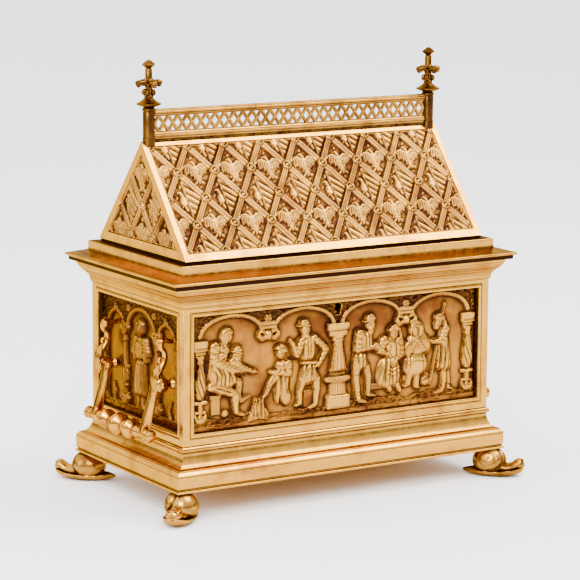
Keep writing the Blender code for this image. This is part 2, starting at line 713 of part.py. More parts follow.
def build_plinth(material):
    slab_top = PLINTH_BASE + PLINTH_SLAB
    torus_base = PLINTH_TOP - TORUS_HEIGHT
    section = [(-WALL, PLINTH_BASE), (PLINTH_PROUD - 0.0005, PLINTH_BASE)]
    section += [(PLINTH_PROUD - 0.0005, PLINTH_BASE + 0.0006), (PLINTH_PROUD, PLINTH_BASE + 0.001)]
    section += [(PLINTH_PROUD, slab_top), (PLINTH_PROUD - 0.0013, slab_top + 0.0015)]
    section += quarter((PLINTH_PROUD - 0.0020, slab_top + 0.0018), (0.0001, torus_base - 0.0003), True, 4)
    section += quarter((0.0004, torus_base), (TORUS_PROUD, torus_base + TORUS_HEIGHT * 0.4), False, 2)
    section += [(TORUS_PROUD, PLINTH_TOP - TORUS_HEIGHT * 0.3), (TORUS_PROUD * 0.6, PLINTH_TOP)]
    section += [(-WALL, PLINTH_TOP)]
    add_object("plinth", smooth(mitred_ring("plinth", section), 30), material)


def build_body(material):
    section = [(-WALL, BODY_BASE), (0, BODY_BASE), (0, BODY_TOP), (-WALL, BODY_TOP)]
    frame = add_object("body_frame", mitred_ring("body_frame", section), material)
    for side, face in body_frames().items():
        half = FRONT_WINDOW if side in ("front", "back") else SIDE_WINDOW
        rebate = RECESS - BEAD_DEPTH
        loops = [rectangle(face, half, 0, WINDOW_HEIGHT, -RECESS)]
        loops += [rectangle(face, half, 0, WINDOW_HEIGHT, rebate)]
        loops += [rectangle(face, half + BEAD_WIDTH, -BEAD_WIDTH, WINDOW_HEIGHT + BEAD_WIDTH, rebate)]
        loops += [rectangle(face, half + BEAD_WIDTH, -BEAD_WIDTH, WINDOW_HEIGHT + BEAD_WIDTH, 2 * RECESS)]
        cut(frame, loft(f"{side}_window", loops))


def keyhole(face):
    """A round head over a slot, near the top of the middle of the front panel."""
    centre = WINDOW_HEIGHT - KEY_TOP_MARGIN - KEY_RADIUS
    opening = math.asin(KEY_SLOT / KEY_RADIUS)
    outline = []
    for i in range(10):
        angle = -math.pi / 2 + opening + (2 * math.pi - 2 * opening) * i / 9
        outline.append((KEY_RADIUS * math.cos(angle), centre + KEY_RADIUS * math.sin(angle)))
    foot = centre - KEY_DROP
    outline += [(-KEY_SLOT, foot), (KEY_SLOT, foot)]
    loops = [[face @ Vector((x, y, out)) for x, y in outline] for out in (-2 * PANEL_THICKNESS, RECESS)]
    return loft("keyhole", loops)


def build_wall_panels(material):
    budget = {"front": 1070, "back": 500, "left": 350, "right": 350}
    scene = {"front": front_scene, "back": back_scene, "left": side_scene, "right": side_scene}
    for side, face in body_frames().items():
        long_side = side in ("front", "back")
        half = FRONT_WINDOW if long_side else SIDE_WINDOW
        lap = PANEL_LAP if long_side else SIDE_PANEL_LAP
        loops = [rectangle(face, half + lap, -PANEL_LAP, WINDOW_HEIGHT + PANEL_LAP, out)
                 for out in (-PANEL_THICKNESS, 0)]
        plate = loft(f"{side}_relief", loops)
        carving = scene[side]((half - GAP) / UNIT)
        carving.soften()
        panel = carved_panel(f"{side}_relief", plate, carving, face, GAP, budget[side], material)
        if side == "front":
            cut(panel, keyhole(face))


def build_cornice(material):
    section = [(-WALL, CORNICE_BASE), (0.0005, CORNICE_BASE), (0.0007, CORNICE_BASE + 0.0008)]
    section += quarter((0.0008, CORNICE_BASE + 0.0020), (0.0026, CORNICE_BASE + 0.0048), False, 2)
    section += [(0.0034, CORNICE_BASE + 0.0056)]
    section += quarter((0.0040, CORNICE_BASE + 0.0062), (CORNICE_PROUD, CORNICE_TOP - 0.0012), True, 3)
    section += [(CORNICE_PROUD - 0.0001, CORNICE_TOP), (-WALL, CORNICE_TOP)]
    cornice = add_object("cornice", smooth(mitred_ring("cornice", section), 30), material)
    for x in (-HINGE_X, HINGE_X):
        cut(cornice, leaf_box("hinge_seat", x, GAP, CORNICE_TOP - HINGE_LEAF - GAP, CORNICE_TOP + GAP))


def leaf_box(name, x, margin, low, high, outer=None):
    """A flat box over the hinge leaf's place, grown by a margin on its free edges."""
    half = HINGE_LENGTH / 2 + margin
    inner = HINGE_Y - HINGE_RADIUS - HINGE_LEAF_DEPTH - margin
    outer = HALF_WIDTH + CORNICE_PROUD + 0.002 if outer is None else outer
    corners = ((x - half, inner), (x + half, inner), (x + half, outer), (x - half, outer))
    return loft(name, [[(px, py, z) for px, py in corners] for z in (low, high)])


def build_hinges(material, axis):
    """Two butt hinges let into the seam, their knuckles behind the cornice."""
    third = HINGE_LENGTH / 3
    for side, x in (("left", -HINGE_X), ("right", HINGE_X)):
        along = Matrix.Translation((x, HINGE_Y, HINGE_Z)) @ Matrix.Rotation(math.pi / 2, 4, "Y")
        start, end = -HINGE_LENGTH / 2, HINGE_LENGTH / 2
        mid = third / 2 + GAP
        profile = [(HINGE_RADIUS, start), (HINGE_RADIUS, -mid), (HINGE_PIN_RADIUS, -mid)]
        profile += [(HINGE_PIN_RADIUS, mid), (HINGE_RADIUS, mid), (HINGE_RADIUS, end)]
        box_leaf = leaf_box("box_leaf", x, 0, CORNICE_TOP - HINGE_LEAF, CORNICE_TOP,
                            HINGE_Y - HINGE_RADIUS * 0.3)
        leaf = add_object(f"hinge_{side}_box_leaf", box_leaf, material)
        clearance = knuckle_clearance("middle_gap", along, mid)
        cut(leaf, clearance)
        cut(leaf, turned("knuckles_and_pin", profile, 8, along), "UNION")
        lid_leaf = leaf_box("lid_leaf", x, 0, LID_BASE, LID_BASE + HINGE_LEAF, HINGE_Y - HINGE_RADIUS * 0.3)
        leaf = add_object(f"hinge_{side}_lid_leaf", lid_leaf, material, axis)
        reach = (end + GAP - third / 2) / 2
        for end_side in (-1, 1):
            shifted = along @ Matrix.Translation((0, 0, end_side * (third / 2 + reach)))
            cut(leaf, knuckle_clearance("end_gap", shifted, reach))
        knuckle = [(HINGE_RADIUS, -third / 2), (HINGE_RADIUS, third / 2)]
        cut(leaf, turned("knuckle", knuckle, 8, along), "UNION")
        bore = [(HINGE_PIN_RADIUS + HINGE_CLEARANCE, -third), (HINGE_PIN_RADIUS + HINGE_CLEARANCE, third)]
        cut(leaf, turned("bore", bore, 8, along))


def knuckle_clearance(name, along, half_length):
    """Room in a leaf for the other leaf's knuckle to turn."""
    radius = HINGE_RADIUS + HINGE_CLEARANCE
    return turned(name, [(radius, -half_length), (radius, half_length)], 8, along)


def build_lid_frame(material, axis):
    flange_base = LID_BASE + LID_LIP_HEIGHT
    step_base = LID_TOP - STEP_HEIGHT
    section = [(-LID_INSET, LID_BASE), (LID_LIP_PROUD - 0.0002, LID_BASE), (LID_LIP_PROUD, LID_BASE + 0.0008)]
    section += [(LID_LIP_PROUD, flange_base), (FLANGE_PROUD - 0.0003, flange_base + 0.0002)]
    section += [(FLANGE_PROUD, flange_base + 0.0006), (FLANGE_PROUD - 0.0001, flange_base + FLANGE_EDGE)]
    section += [(FLANGE_PROUD - 0.0022, flange_base + FLANGE_EDGE + 0.0006)]
    section += [(STEP_PROUD + 0.0004, step_base), (STEP_PROUD, step_base + 0.0003)]
    section += [(STEP_PROUD, LID_TOP - 0.0005), (STEP_PROUD - 0.0006, LID_TOP)]
    curb_top = LID_TOP + CURB_HEIGHT
    section += [(-CURB_INSET, LID_TOP), (-CURB_INSET, curb_top), (-LID_INSET, curb_top)]
    frame = add_object("lid_frame", smooth(mitred_ring("lid_frame", section), 30), material, axis)
    for x in (-HINGE_X, HINGE_X):
        cut(frame, leaf_box("leaf_seat", x, GAP, LID_BASE - GAP, LID_BASE + HINGE_LEAF + GAP))
        half = HINGE_LENGTH / 2 + GAP
        room = HINGE_RADIUS + HINGE_CLEARANCE
        corners = ((x - half, HINGE_Y - room), (x + half, HINGE_Y - room),
                   (x + half, HINGE_Y + 2 * room), (x - half, HINGE_Y + 2 * room))
        notch = [[(px, py, z) for px, py in corners] for z in (LID_BASE - GAP, HINGE_Z + room)]
        cut(frame, loft("knuckle_notch", notch))


def roof_prism(name, inset, gable_inset, below=0.0):
    """The roof's solid form, moved inward by inset on the slopes and gable_inset at the ends."""
    sine, cosine = math.sin(ROOF_ANGLE), math.cos(ROOF_ANGLE)
    half = ROOF_HALF - inset / sine + below / math.tan(ROOF_ANGLE)
    top = RIDGE - inset / cosine
    x = GABLE_X - gable_inset
    return loft(name, [[(sx * x, -half, EAVES - below), (sx * x, half, EAVES - below), (sx * x, 0, top)]
                       for sx in (-1, 1)])


def slope_frames():
    c, s = math.cos(ROOF_ANGLE), math.sin(ROOF_ANGLE)
    return {
        "front": face_frame((0, -ROOF_HALF, EAVES), (1, 0, 0), (0, c, s)),
        "back": face_frame((0, ROOF_HALF, EAVES), (-1, 0, 0), (0, -c, s)),
    }


def gable_frames():
    return {
        "left": face_frame((-GABLE_X, 0, EAVES), (0, -1, 0), (0, 0, 1)),
        "right": face_frame((GABLE_X, 0, EAVES), (0, 1, 0), (0, 0, 1)),
    }


def triangle(border, low, start=0.0):
    """A triangle inside the gable, border from the slopes, its base low above the eaves."""
    half = ROOF_HALF - border / math.sin(ROOF_ANGLE)
    height = half * math.tan(ROOF_ANGLE)
    base = half * (1 - low / height)
    return [(-base, low - start), (base, low - start), (0, height - start)]


def gable_outline(frame, border, low, out):
    return [frame @ Vector((x, y, out)) for x, y in triangle(border, low)]


def build_roof(frame_material, panel_material, axis):
    frame = add_object("roof_frame", roof_prism("roof_frame", 0, 0), frame_material, axis)
    cut(frame, roof_prism("hollow", ROOF_SHEET, ROOF_SHEET, below=0.002))
    window_half = GABLE_X - VERGE_BORDER
    window_top = SLOPE_LENGTH - RIDGE_BORDER
    depth = ROOF_SHEET + GAP
    for side, slope in slope_frames().items():
        loops = [rectangle(slope, window_half, EAVES_BORDER, window_top, out) for out in (-depth, depth)]
        cut(frame, loft(f"{side}_slope_window", loops))
        loops = []
        for below in (depth + PANEL_THICKNESS, depth):
            top = (ROOF_HALF - GAP / 2 - below * math.sin(ROOF_ANGLE)) / math.cos(ROOF_ANGLE)
            loops.append(rectangle(slope, window_half + ROOF_LAP, EAVES_BORDER - ROOF_LAP, top, -below))
        plate = loft(f"roof_{side}_panel", loops)
        half, high = window_half - GAP, window_top - EAVES_BORDER - 2 * GAP
        outline = [(-half, 0), (half, 0), (half, high), (-half, high)]
        rim = LATTICE_RIM
        region = [(-half + rim, rim), (half - rim, rim), (half - rim, high - rim), (-half + rim, high - rim)]
        face = slope @ Matrix.Translation((0, 0, -depth))
        pitch, row = 2 * half / LATTICE_COLUMNS, high / LATTICE_ROWS
        panel = add_object(f"roof_{side}_panel", plate, panel_material, axis)
        cut(panel, lattice_block(f"{side}_lattice", outline, region, pitch, row, 0, side == "front",
                                 face, EAVES_BORDER + GAP), "UNION")
    for side, gable in gable_frames().items():
        loops = [gable_outline(gable, GABLE_BORDER, EAVES_BORDER, out) for out in (-depth, depth)]
        cut(frame, loft(f"{side}_gable_window", loops))
        loops = [gable_outline(gable, GABLE_BORDER - GABLE_LAP, EAVES_BORDER - GABLE_LAP, out)
                 for out in (-depth - PANEL_THICKNESS, -depth)]
        plate = loft(f"gable_{side}_panel", loops)
        base = EAVES_BORDER + GAP
        outline = triangle(GABLE_BORDER + GAP, base, base)
        region = triangle(GABLE_BORDER + GAP + LATTICE_RIM, base + LATTICE_RIM, base)
        face = gable @ Matrix.Translation((0, 0, -depth))
        panel = add_object(f"gable_{side}_panel", plate, panel_material, axis)
        cut(panel, lattice_block(f"{side}_lattice", outline, region, GABLE_PITCH, GABLE_ROW, GABLE_FIRST_ROW,
                                 True, face, base), "UNION")


def build_crest(material, axis):
    """A pierced ridge cresting: a sheet with lozenge openings between two moulded rails."""
    half = POST_X - POST_WIDTH / 2 - GAP
    low = RIDGE + CREST_SLIT
    high = low + CREST_HEIGHT
    bottom, top = low + CREST_BOTTOM_RAIL, high - CREST_TOP_RAIL
    deep, face = CREST_RAIL_DEPTH / 2, CREST_THICKNESS / 2
    front = [(deep, low)]
    front += [(deep, low + 0.45 * CREST_BOTTOM_RAIL), (0.7 * deep, low + 0.6 * CREST_BOTTOM_RAIL)]
    front += [(0.7 * deep, bottom), (face, bottom), (face, top), (deep, top)]
    front += [(deep, top + 0.45 * CREST_TOP_RAIL), (0.7 * deep, top + 0.6 * CREST_TOP_RAIL)]
    front += [(0.7 * deep, high)]
    section = front + [(-y, z) for y, z in reversed(front)]
    sheet = bmesh.new()
    ends = [[sheet.verts.new((x, y, z)) for y, z in section] for x in (-half, half)]
    for end in ends:
        sheet.faces.new(end)
    borders = {}
    for i, (y, z) in enumerate(section):
        j = (i + 1) % len(section)
        around = [ends[0][i], ends[1][i], ends[1][j], ends[0][j]]
        if abs(y) == face and abs(section[j][0]) == face:
            borders[y] = [sheet.edges.get((a, b)) or sheet.edges.new((a, b))
                          for a, b in zip(around, around[1:] + around[:1])]
        else:
            sheet.faces.new(around)
    cells = round(2 * half / CREST_PITCH)
    pitch = 2 * half / cells
    middle, bar = (bottom + top) / 2, 0.11 * pitch
    reach_x, reach_z = pitch / 2 - bar, (top - bottom) / 2 - bar
    for cell in range(cells):
        x = -half + (cell + 0.5) * pitch
        corners = ((x - reach_x, middle), (x, middle - reach_z), (x + reach_x, middle), (x, middle + reach_z))
        rims = {y: [sheet.verts.new((px, y, pz)) for px, pz in corners] for y in borders}
        for i in range(4):
            j = (i + 1) % 4
            sheet.faces.new((rims[face][i], rims[face][j], rims[-face][j], rims[-face][i]))
            for y in borders:
                borders[y].append(sheet.edges.get((rims[y][i], rims[y][j])))
    for edges in borders.values():
        bmesh.ops.triangle_fill(sheet, use_beauty=True, edges=edges)
    bmesh.ops.recalc_face_normals(sheet, faces=sheet.faces)
    mesh = bpy.data.meshes.new("crest")
    sheet.to_mesh(mesh)
    sheet.free()
    add_object("crest", mesh, material, axis)


def build_finials(material, axis):
    """A chamfered post on the ridge carrying a knop, crossing leaves and a bud."""
    post_top = RIDGE + POST_HEIGHT
    for side, sign in (("left", -1), ("right", 1)):
        upright = Matrix.Translation((sign * POST_X, 0, 0))
        side_radius = POST_WIDTH / 2 / math.cos(math.pi / 8)
        tall = FINIAL_HEIGHT
        profile = [(side_radius, RIDGE - POST_WIDTH), (side_radius * 0.93, post_top)]
        profile += [(KNOP_RADIUS, post_top + 0.06 * tall), (KNOP_RADIUS, post_top + 0.10 * tall)]
        profile += [(0.0022, post_top + 0.20 * tall), (0.0019, post_top + 0.26 * tall)]
        profile += [(0.0038, post_top + 0.33 * tall), (0.0019, post_top + 0.42 * tall)]
        profile += [(0.0017, post_top + 0.80 * tall), (0.0037, post_top + 0.90 * tall)]
        profile += [(0.0010, post_top + tall)]
        finial = add_object(f"finial_{side}", turned(f"finial_{side}", profile, 8, upright), material, axis)
        cut(finial, ridge_saddle())
        for turn in range(2):
            cut(finial, leaf_cross(sign, post_top + 0.48 * tall, turn), "UNION")


def ridge_saddle():
    """The roof's ridge grown by the gap, to seat a post on it."""
    return roof_prism("ridge_saddle", -GAP, -0.005)


def leaf_cross(sign, height, turn):
    """Two opposite leaves in one bar that curls up at both ends."""
    half = FINIAL_SPAN / 2
    spin = Matrix.Translation((sign * POST_X, 0, height)) @ Matrix.Rotation(turn * math.pi / 2, 4, "Z")
    stations = [(-1.0, 0.0024, 0.0008), (-0.72, 0.0012, 0.0014), (-0.25, 0.0, 0.0010)]
    stations += [(-s, rise, wide) for s, rise, wide in reversed(stations)]
    loops = []
    for share, rise, wide in stations:
        x, low = share * half, rise + 0.0001 * turn
        loops.append([spin @ Vector(p) for p in (
            (x, -wide, low), (x, wide, low), (x, wide * 0.8, low + 0.0019), (x, -wide * 0.8, low + 0.0019))])
    return loft("leaf_cross", loops)


def diagonal_frame(sx, sy):
    """Local x points outward along a corner's diagonal, from the middle of a foot's shell."""
    across = HALF_LENGTH + PLINTH_PROUD - FOOT_INSET / math.sqrt(2)
    back = HALF_WIDTH + PLINTH_PROUD - FOOT_INSET / math.sqrt(2)
    angle = math.atan2(sy, sx)
    return Matrix.Translation((sx * across, sy * back, 0)) @ Matrix.Rotation(angle, 4, "Z")


def build_feet(material):
    """Four snails looking outward from the corners."""
    tail, head = -0.44 * FOOT_LENGTH, 0.56 * FOOT_LENGTH
    stations = ((0.0, 0.10, 0.05, 0.0), (0.12, 0.50, 0.13, 0.0), (0.32, 0.86, 0.19, 0.0),
                (0.58, 1.0, 0.21, 0.0), (0.78, 0.92, 0.30, 0.0), (0.89, 0.76, 0.44, 0.04),
                (0.965, 0.60, 0.52, 0.12), (1.0, 0.34, 0.46, 0.22))
    corners = [(f"{depth}_{end}", sx, sy) for depth, sy in (("front", -1), ("back", 1))
               for end, sx in (("left", -1), ("right", 1))]
    for name, sx, sy in corners:
        frame = diagonal_frame(sx, sy)
        loops = []
        for share, wide, tall, lift in stations:
            x = tail + (head - tail) * share
            half, high, low = FOOT_HALF_WIDTH * wide, FOOT_HEIGHT * tall, FOOT_HEIGHT * lift
            shape = ((-1, 0.0), (-1, 0.45), (-0.72, 0.85), (0, 1), (0.72, 0.85), (1, 0.45), (1, 0.0))
            loops.append([frame @ Vector((x, half * a, low + (high - low) * b)) for a, b in shape])
        foot = add_object(f"foot_{name}", smooth(loft(f"foot_{name}", loops), 50), material)
        cut(foot, snail_shell(frame), "UNION")


def snail_shell(frame):
    """A domed shell with a spiral step, flattened where the floor plate rests on it."""
    centre_z, radius_z = FOOT_HEIGHT * 0.52, FOOT_HEIGHT * 0.50
    top = FOOT_HEIGHT - GAP
    rings, sides = 6, 10
    loops = []
    for j in range(rings):
        polar = math.pi * (0.06 + 0.88 * j / (rings - 1))
        loop = []
        for i in range(sides):
            turn = 2 * math.pi * i / sides
            whorl = 1.0 - 0.10 * ((turn / (2 * math.pi) + 0.9 * j / rings) % 1.0)
            x = SHELL_LENGTH / 2 * whorl * math.sin(polar) * math.cos(turn)
            y = SHELL_WIDTH / 2 * whorl * math.sin(polar) * math.sin(turn)
            z = centre_z - radius_z * math.cos(polar)
            loop.append(frame @ Vector((x, y, min(z, top))))
        loops.append(loop)
    return smooth(loft("snail_shell", loops), 60)


def tube(name, path, radii):
    """A tapering rod along a path that stays in a plane of constant Y."""
    loops = []
    for i, (point, radius) in enumerate(zip(path, radii)):
        ahead = Vector(path[min(i + 1, len(path) - 1)]) - Vector(path[max(i - 1, 0)])
        ahead.normalize()
        side = Vector((0, 1, 0))
        other = ahead.cross(side)
        loop = []
        for k in range(4):
            angle = math.pi / 2 * (k + 0.5)
            loop.append(Vector(point) + radius * (side * math.cos(angle) + other * math.sin(angle)))
        loops.append(loop)
    return loft(name, loops)


def build_brackets(material):
    """Scroll brackets: an upper knob, an S-shaped arm, a leaf and the barrel that holds the bail."""
    foot_x = HALF_LENGTH - RECESS + NICHE * UNIT + GAP
    inner = ARM_Y + ARM_THICKNESS / 2 + GAP
    middle = inner + BARREL_LENGTH / 2
    for end, sx in (("left", -1), ("right", 1)):
        for depth, sy in (("front", -1), ("back", 1)):
            along = Matrix.Translation((sx * PIVOT_X, sy * inner, PIVOT_HEIGHT))
            along = along @ Matrix.Rotation(-sy * math.pi / 2, 4, "X")
            profile = [(BARREL_RADIUS, 0), (BARREL_RADIUS, BARREL_LENGTH * 0.85)]
            profile += [(BARREL_RADIUS * 0.5, BARREL_LENGTH), (BARREL_RADIUS * 0.3, BARREL_LENGTH * 1.15)]
            name = f"bracket_{end}_{depth}"
            bracket = add_object(name, turned(name, profile, 8, along), material)
            y = sy * middle

            def at(out, up):
                return (sx * (HALF_LENGTH + out), y, PIVOT_HEIGHT + up)

            wall = foot_x - HALF_LENGTH
            cut(bracket, tube("lower_foot", [at(wall, 0), at(PIVOT_OUT, 0)], [BRACKET_FOOT] * 2), "UNION")
            stations = ((0.043, 1.017, 1.0), (0.112, 0.948, 0.88), (0.034, 0.733, 0.58), (0.129, 0.461, 0.69),
                        (0.25, 0.203, 0.54))
            path = [at(wall, BRACKET_RISE)]
            path += [at(BRACKET_RISE * out, BRACKET_RISE * up) for out, up, r in stations]
            radii = [0.6 * SCROLL_RADIUS] + [SCROLL_RADIUS * r for out, up, r in stations]
            cut(bracket, tube("scroll", path, radii), "UNION")
            cut(bracket, hanging_leaf(sx, y), "UNION")
            bore = [(PIN_RADIUS + PIN_CLEARANCE, -GAP), (PIN_RADIUS + PIN_CLEARANCE, PIN_LENGTH + GAP)]
            cut(bracket, turned("pin_bore", bore, 6, along))


def hanging_leaf(sx, y):
    """A pointed leaf in front of the barrel, hollowed a little across its middle."""
    stations = ((0.68, 0.55, 0.33, 0.15), (0.44, 0.90, 0.89, 0.27), (0.19, 1.0, 1.0, 0.37),
                (-0.08, 0.92, 0.75, 0.35), (-0.32, 0.70, 0.19, 0.13))
    loops = []
    for up, out, wide, thick in stations:
        outer, half = HALF_LENGTH + LEAF_OUT * out, LEAF_HALF_WIDTH * wide
        inner, edge = outer - LEAF_OUT * thick, outer - LEAF_OUT * 0.05
        loops.append([(sx * x, y + w, PIVOT_HEIGHT + LEAF_HEIGHT * up) for x, w in (
            (inner, -half * 0.8), (edge, -half), (outer, 0), (edge, half), (inner, half * 0.8))])
    return loft("hanging_leaf", loops)


def build_bails(material):
    """Swinging handles: a turned grip between two flat arms with pins into the brackets."""
    for end, sx in (("left", -1), ("right", 1)):
        axis = add_axis(f"{end}_handle_axis", (sx * PIVOT_X, 0, PIVOT_HEIGHT))
        grip_x, grip_z = sx * (HALF_LENGTH + GRIP_OUT), PIVOT_HEIGHT - GRIP_DROP
        along = Matrix.Translation((grip_x, 0, grip_z)) @ Matrix.Rotation(-math.pi / 2, 4, "X")
        half = GRIP_HALF_LENGTH
        side = [(0.045, 1.0), (0.11, 0.44), (0.27, 0.44), (0.33, 0.90), (0.40, 0.90), (0.46, 0.44)]
        side += [(0.60, 0.54), (0.84, 0.36), (0.92, 0.50), (0.98, 0.30)]
        profile = [(r * GRIP_RADIUS, -a * half) for a, r in reversed(side)]
        profile += [(r * GRIP_RADIUS, a * half) for a, r in side]
        name = f"{end}_bail"
        bail = add_object(name, smooth(turned(name, profile, 8, along)), material, axis)
        for sy in (-1, 1):
            cut(bail, bail_arm(sx, sy, grip_x, grip_z), "UNION")
            pin = Matrix.Translation((sx * PIVOT_X, sy * ARM_Y, PIVOT_HEIGHT))
            pin = pin @ Matrix.Rotation(-sy * math.pi / 2, 4, "X")
            shape = [(PIN_RADIUS, 0), (PIN_RADIUS, ARM_THICKNESS / 2 + PIN_LENGTH)]
            cut(bail, turned("pin", shape, 6, pin), "UNION")


def bail_arm(sx, sy, grip_x, grip_z):
    """A flat arm from the pivot down to the grip, rounded at its top end."""
    top, foot = Vector((sx * PIVOT_X, PIVOT_HEIGHT)), Vector((grip_x, grip_z))
    down = (foot - top).normalized()
    side = Vector((-down.y, down.x))
    half = ARM_WIDTH / 2
    outline = [foot + side * half * 0.9, foot - side * half * 0.9]
    for i in range(4):
        angle = math.pi * i / 3
        outline.append(top - side * half * math.cos(angle) - down * half * math.sin(angle))
    loops = []
    for share in (-0.5, 0.5):
        y = sy * ARM_Y + share * ARM_THICKNESS
        loops.append([(p.x, y, p.y) for p in outline])
    return loft("bail_arm", loops)


def main():
    clear_scene()
    polished = brass("polished_gilt_brass", (0.80, 0.58, 0.28), 0.24)
    carved = brass("carved_gilt_brass", (0.70, 0.46, 0.21), 0.34)
    toned = brass("toned_gilt_brass", (0.52, 0.35, 0.17), 0.36)
    lid_axis = add_axis("lid_axis", (0, HINGE_Y, HINGE_Z))
    build_floor(polished)
    build_plinth(polished)
    build_body(polished)
    build_wall_panels(carved)
    build_cornice(polished)
    build_feet(toned)
    build_brackets(polished)
    build_bails(polished)
    build_lid_frame(polished, lid_axis)
    build_roof(polished, carved, lid_axis)
    build_crest(toned, lid_axis)
    build_finials(toned, lid_axis)
    build_hinges(polished, lid_axis)


main()
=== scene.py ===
"""The look of the gilt-brass casket: fine reliefs, mouldings, materials, camera and light."""
import json
import math

import bmesh
import bpy
import numpy as np
from mathutils import Matrix, Vector

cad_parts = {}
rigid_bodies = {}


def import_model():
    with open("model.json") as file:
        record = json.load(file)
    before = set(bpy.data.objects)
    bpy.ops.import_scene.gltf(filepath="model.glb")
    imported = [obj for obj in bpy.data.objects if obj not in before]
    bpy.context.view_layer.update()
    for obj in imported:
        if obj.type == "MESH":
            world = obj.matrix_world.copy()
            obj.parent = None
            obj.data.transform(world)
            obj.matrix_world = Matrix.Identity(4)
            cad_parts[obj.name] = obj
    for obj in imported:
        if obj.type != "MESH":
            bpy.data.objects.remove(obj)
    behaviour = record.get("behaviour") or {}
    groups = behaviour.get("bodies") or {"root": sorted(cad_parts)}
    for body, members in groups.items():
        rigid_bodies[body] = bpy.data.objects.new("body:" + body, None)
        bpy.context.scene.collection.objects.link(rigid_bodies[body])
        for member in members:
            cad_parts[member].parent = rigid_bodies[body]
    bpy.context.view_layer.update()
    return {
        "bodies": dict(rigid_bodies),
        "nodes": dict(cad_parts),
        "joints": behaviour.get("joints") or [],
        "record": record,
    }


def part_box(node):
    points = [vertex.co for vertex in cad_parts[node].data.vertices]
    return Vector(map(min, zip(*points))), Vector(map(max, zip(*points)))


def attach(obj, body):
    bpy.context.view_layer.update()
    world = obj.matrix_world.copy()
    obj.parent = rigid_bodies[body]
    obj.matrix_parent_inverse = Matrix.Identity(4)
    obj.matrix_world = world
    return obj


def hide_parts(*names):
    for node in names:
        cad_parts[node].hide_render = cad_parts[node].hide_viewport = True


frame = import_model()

MM = 0.001


def node_box(name):
    low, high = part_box(name)
    return Vector(low), Vector(high)


# Sizes taken from the CAD nodes, metres
BODY_LOW, BODY_HIGH = node_box("body_frame")
HALF_LENGTH, HALF_WIDTH = BODY_HIGH.x, BODY_HIGH.y
BODY_BASE, BODY_TOP = BODY_LOW.z, BODY_HIGH.z
PLINTH_LOW, PLINTH_HIGH = node_box("plinth")
FLOOR_LOW, FLOOR_HIGH = node_box("floor_plate")
CORNICE_LOW, CORNICE_HIGH = node_box("cornice")
LID_LOW, LID_HIGH = node_box("lid_frame")
ROOF_LOW, ROOF_HIGH = node_box("roof_frame")
CREST_LOW, CREST_HIGH = node_box("crest")
GAP = 0.3 * MM
WALL = 4.3 * MM
RECESS = WALL + GAP
STILE = 6.9 * MM
WINDOW_BASE = BODY_BASE + 6.5 * MM
WINDOW_HEIGHT = 63.6 * MM
FRONT_WINDOW = HALF_LENGTH - STILE
SIDE_WINDOW = HALF_WIDTH - STILE
PLATE = 1.2 * MM
CURB = 1.1 * MM
LID_TOP = LID_HIGH.z - CURB
EAVES, RIDGE = ROOF_LOW.z, ROOF_HIGH.z
ROOF_HALF, GABLE_X = ROOF_HIGH.y, ROOF_HIGH.x
ROOF_RISE = RIDGE - EAVES
ROOF_ANGLE = math.atan2(ROOF_RISE, ROOF_HALF)
SLOPE_LENGTH = math.hypot(ROOF_RISE, ROOF_HALF)
ROOF_DEPTH = 1.9 * MM
EAVES_BORDER, RIDGE_BORDER, VERGE_BORDER, GABLE_BORDER = 5.0 * MM, 3.6 * MM, 3.6 * MM, 4.4 * MM
FOOT_HEIGHT = FLOOR_LOW.z
PIVOT_X, PIVOT_Z = HALF_LENGTH + 3.0 * MM, 71.0 * MM
ARM_Y, ARM_THICKNESS = 27.5 * MM, 3.4 * MM
GRIP_X, GRIP_Z, GRIP_HALF = HALF_LENGTH + 10.8 * MM, 43.8 * MM, 37.8 * MM
POST_X = GABLE_X - 5.0 * MM


# Meshes

def to_mesh(name, points, faces, cavity=None, tone=None):
    mesh = bpy.data.meshes.new(name)
    mesh.from_pydata(np.asarray(points, float).tolist(), [], [tuple(f) for f in faces])
    shell = bmesh.new()
    shell.from_mesh(mesh)
    bmesh.ops.recalc_face_normals(shell, faces=shell.faces)
    shell.to_mesh(mesh)
    shell.free()
    for label, values in (("cavity", cavity), ("tone", tone)):
        if values is not None:
            store = mesh.attributes.new(label, "FLOAT", "POINT")
            store.data.foreach_set("value", np.asarray(values, np.float32))
    mesh.shade_smooth()
    return mesh


def merged(meshes, name):
    """One mesh out of several closed shells, their attributes kept."""
    items = []
    for i, mesh in enumerate(meshes):
        for label in ("cavity", "tone"):
            if label not in mesh.attributes:
                mesh.attributes.new(label, "FLOAT", "POINT")
        item = bpy.data.objects.new(f"{name}_{i}", mesh)
        bpy.context.collection.objects.link(item)
        items.append(item)
    with bpy.context.temp_override(active_object=items[0], selected_editable_objects=items):
        bpy.ops.object.join()
    joined = items[0].data
    bpy.data.objects.remove(items[0], do_unlink=True)
    joined.name = name
    return joined


def piece(name, mesh, material, slot, body, *nodes, sharp=None):
    if sharp:
        mesh.set_sharp_from_angle(angle=math.radians(sharp))
    mesh.materials.clear()
    mesh.materials.append(material)
    item = bpy.data.objects.new(name, mesh)
    bpy.context.collection.objects.link(item)
    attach(item, body)
    if nodes:
        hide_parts(*nodes)
    return item


def outline_at(across, up, *points):
    """An outline given in millimetres from a place; the place is in metres."""
    return [(across + u * MM, up + v * MM) for u, v in points]


def rounded(points, radius=0.22 * MM):
    """An open outline with its corners rounded."""
    steps, out = 3, [points[0]]
    for a, b, c in zip(points, points[1:], points[2:]):
        a, b, c = Vector(a), Vector(b), Vector(c)
        reach = min(radius, (a - b).length * 0.45, (c - b).length * 0.45)
        start, end = b + (a - b).normalized() * reach, b + (c - b).normalized() * reach
        for i in range(steps + 1):
            t = i / steps
            p = start * (1 - t) ** 2 + b * 2 * t * (1 - t) + end * t ** 2
            out.append((p.x, p.y))
    out.append(points[-1])
    return out


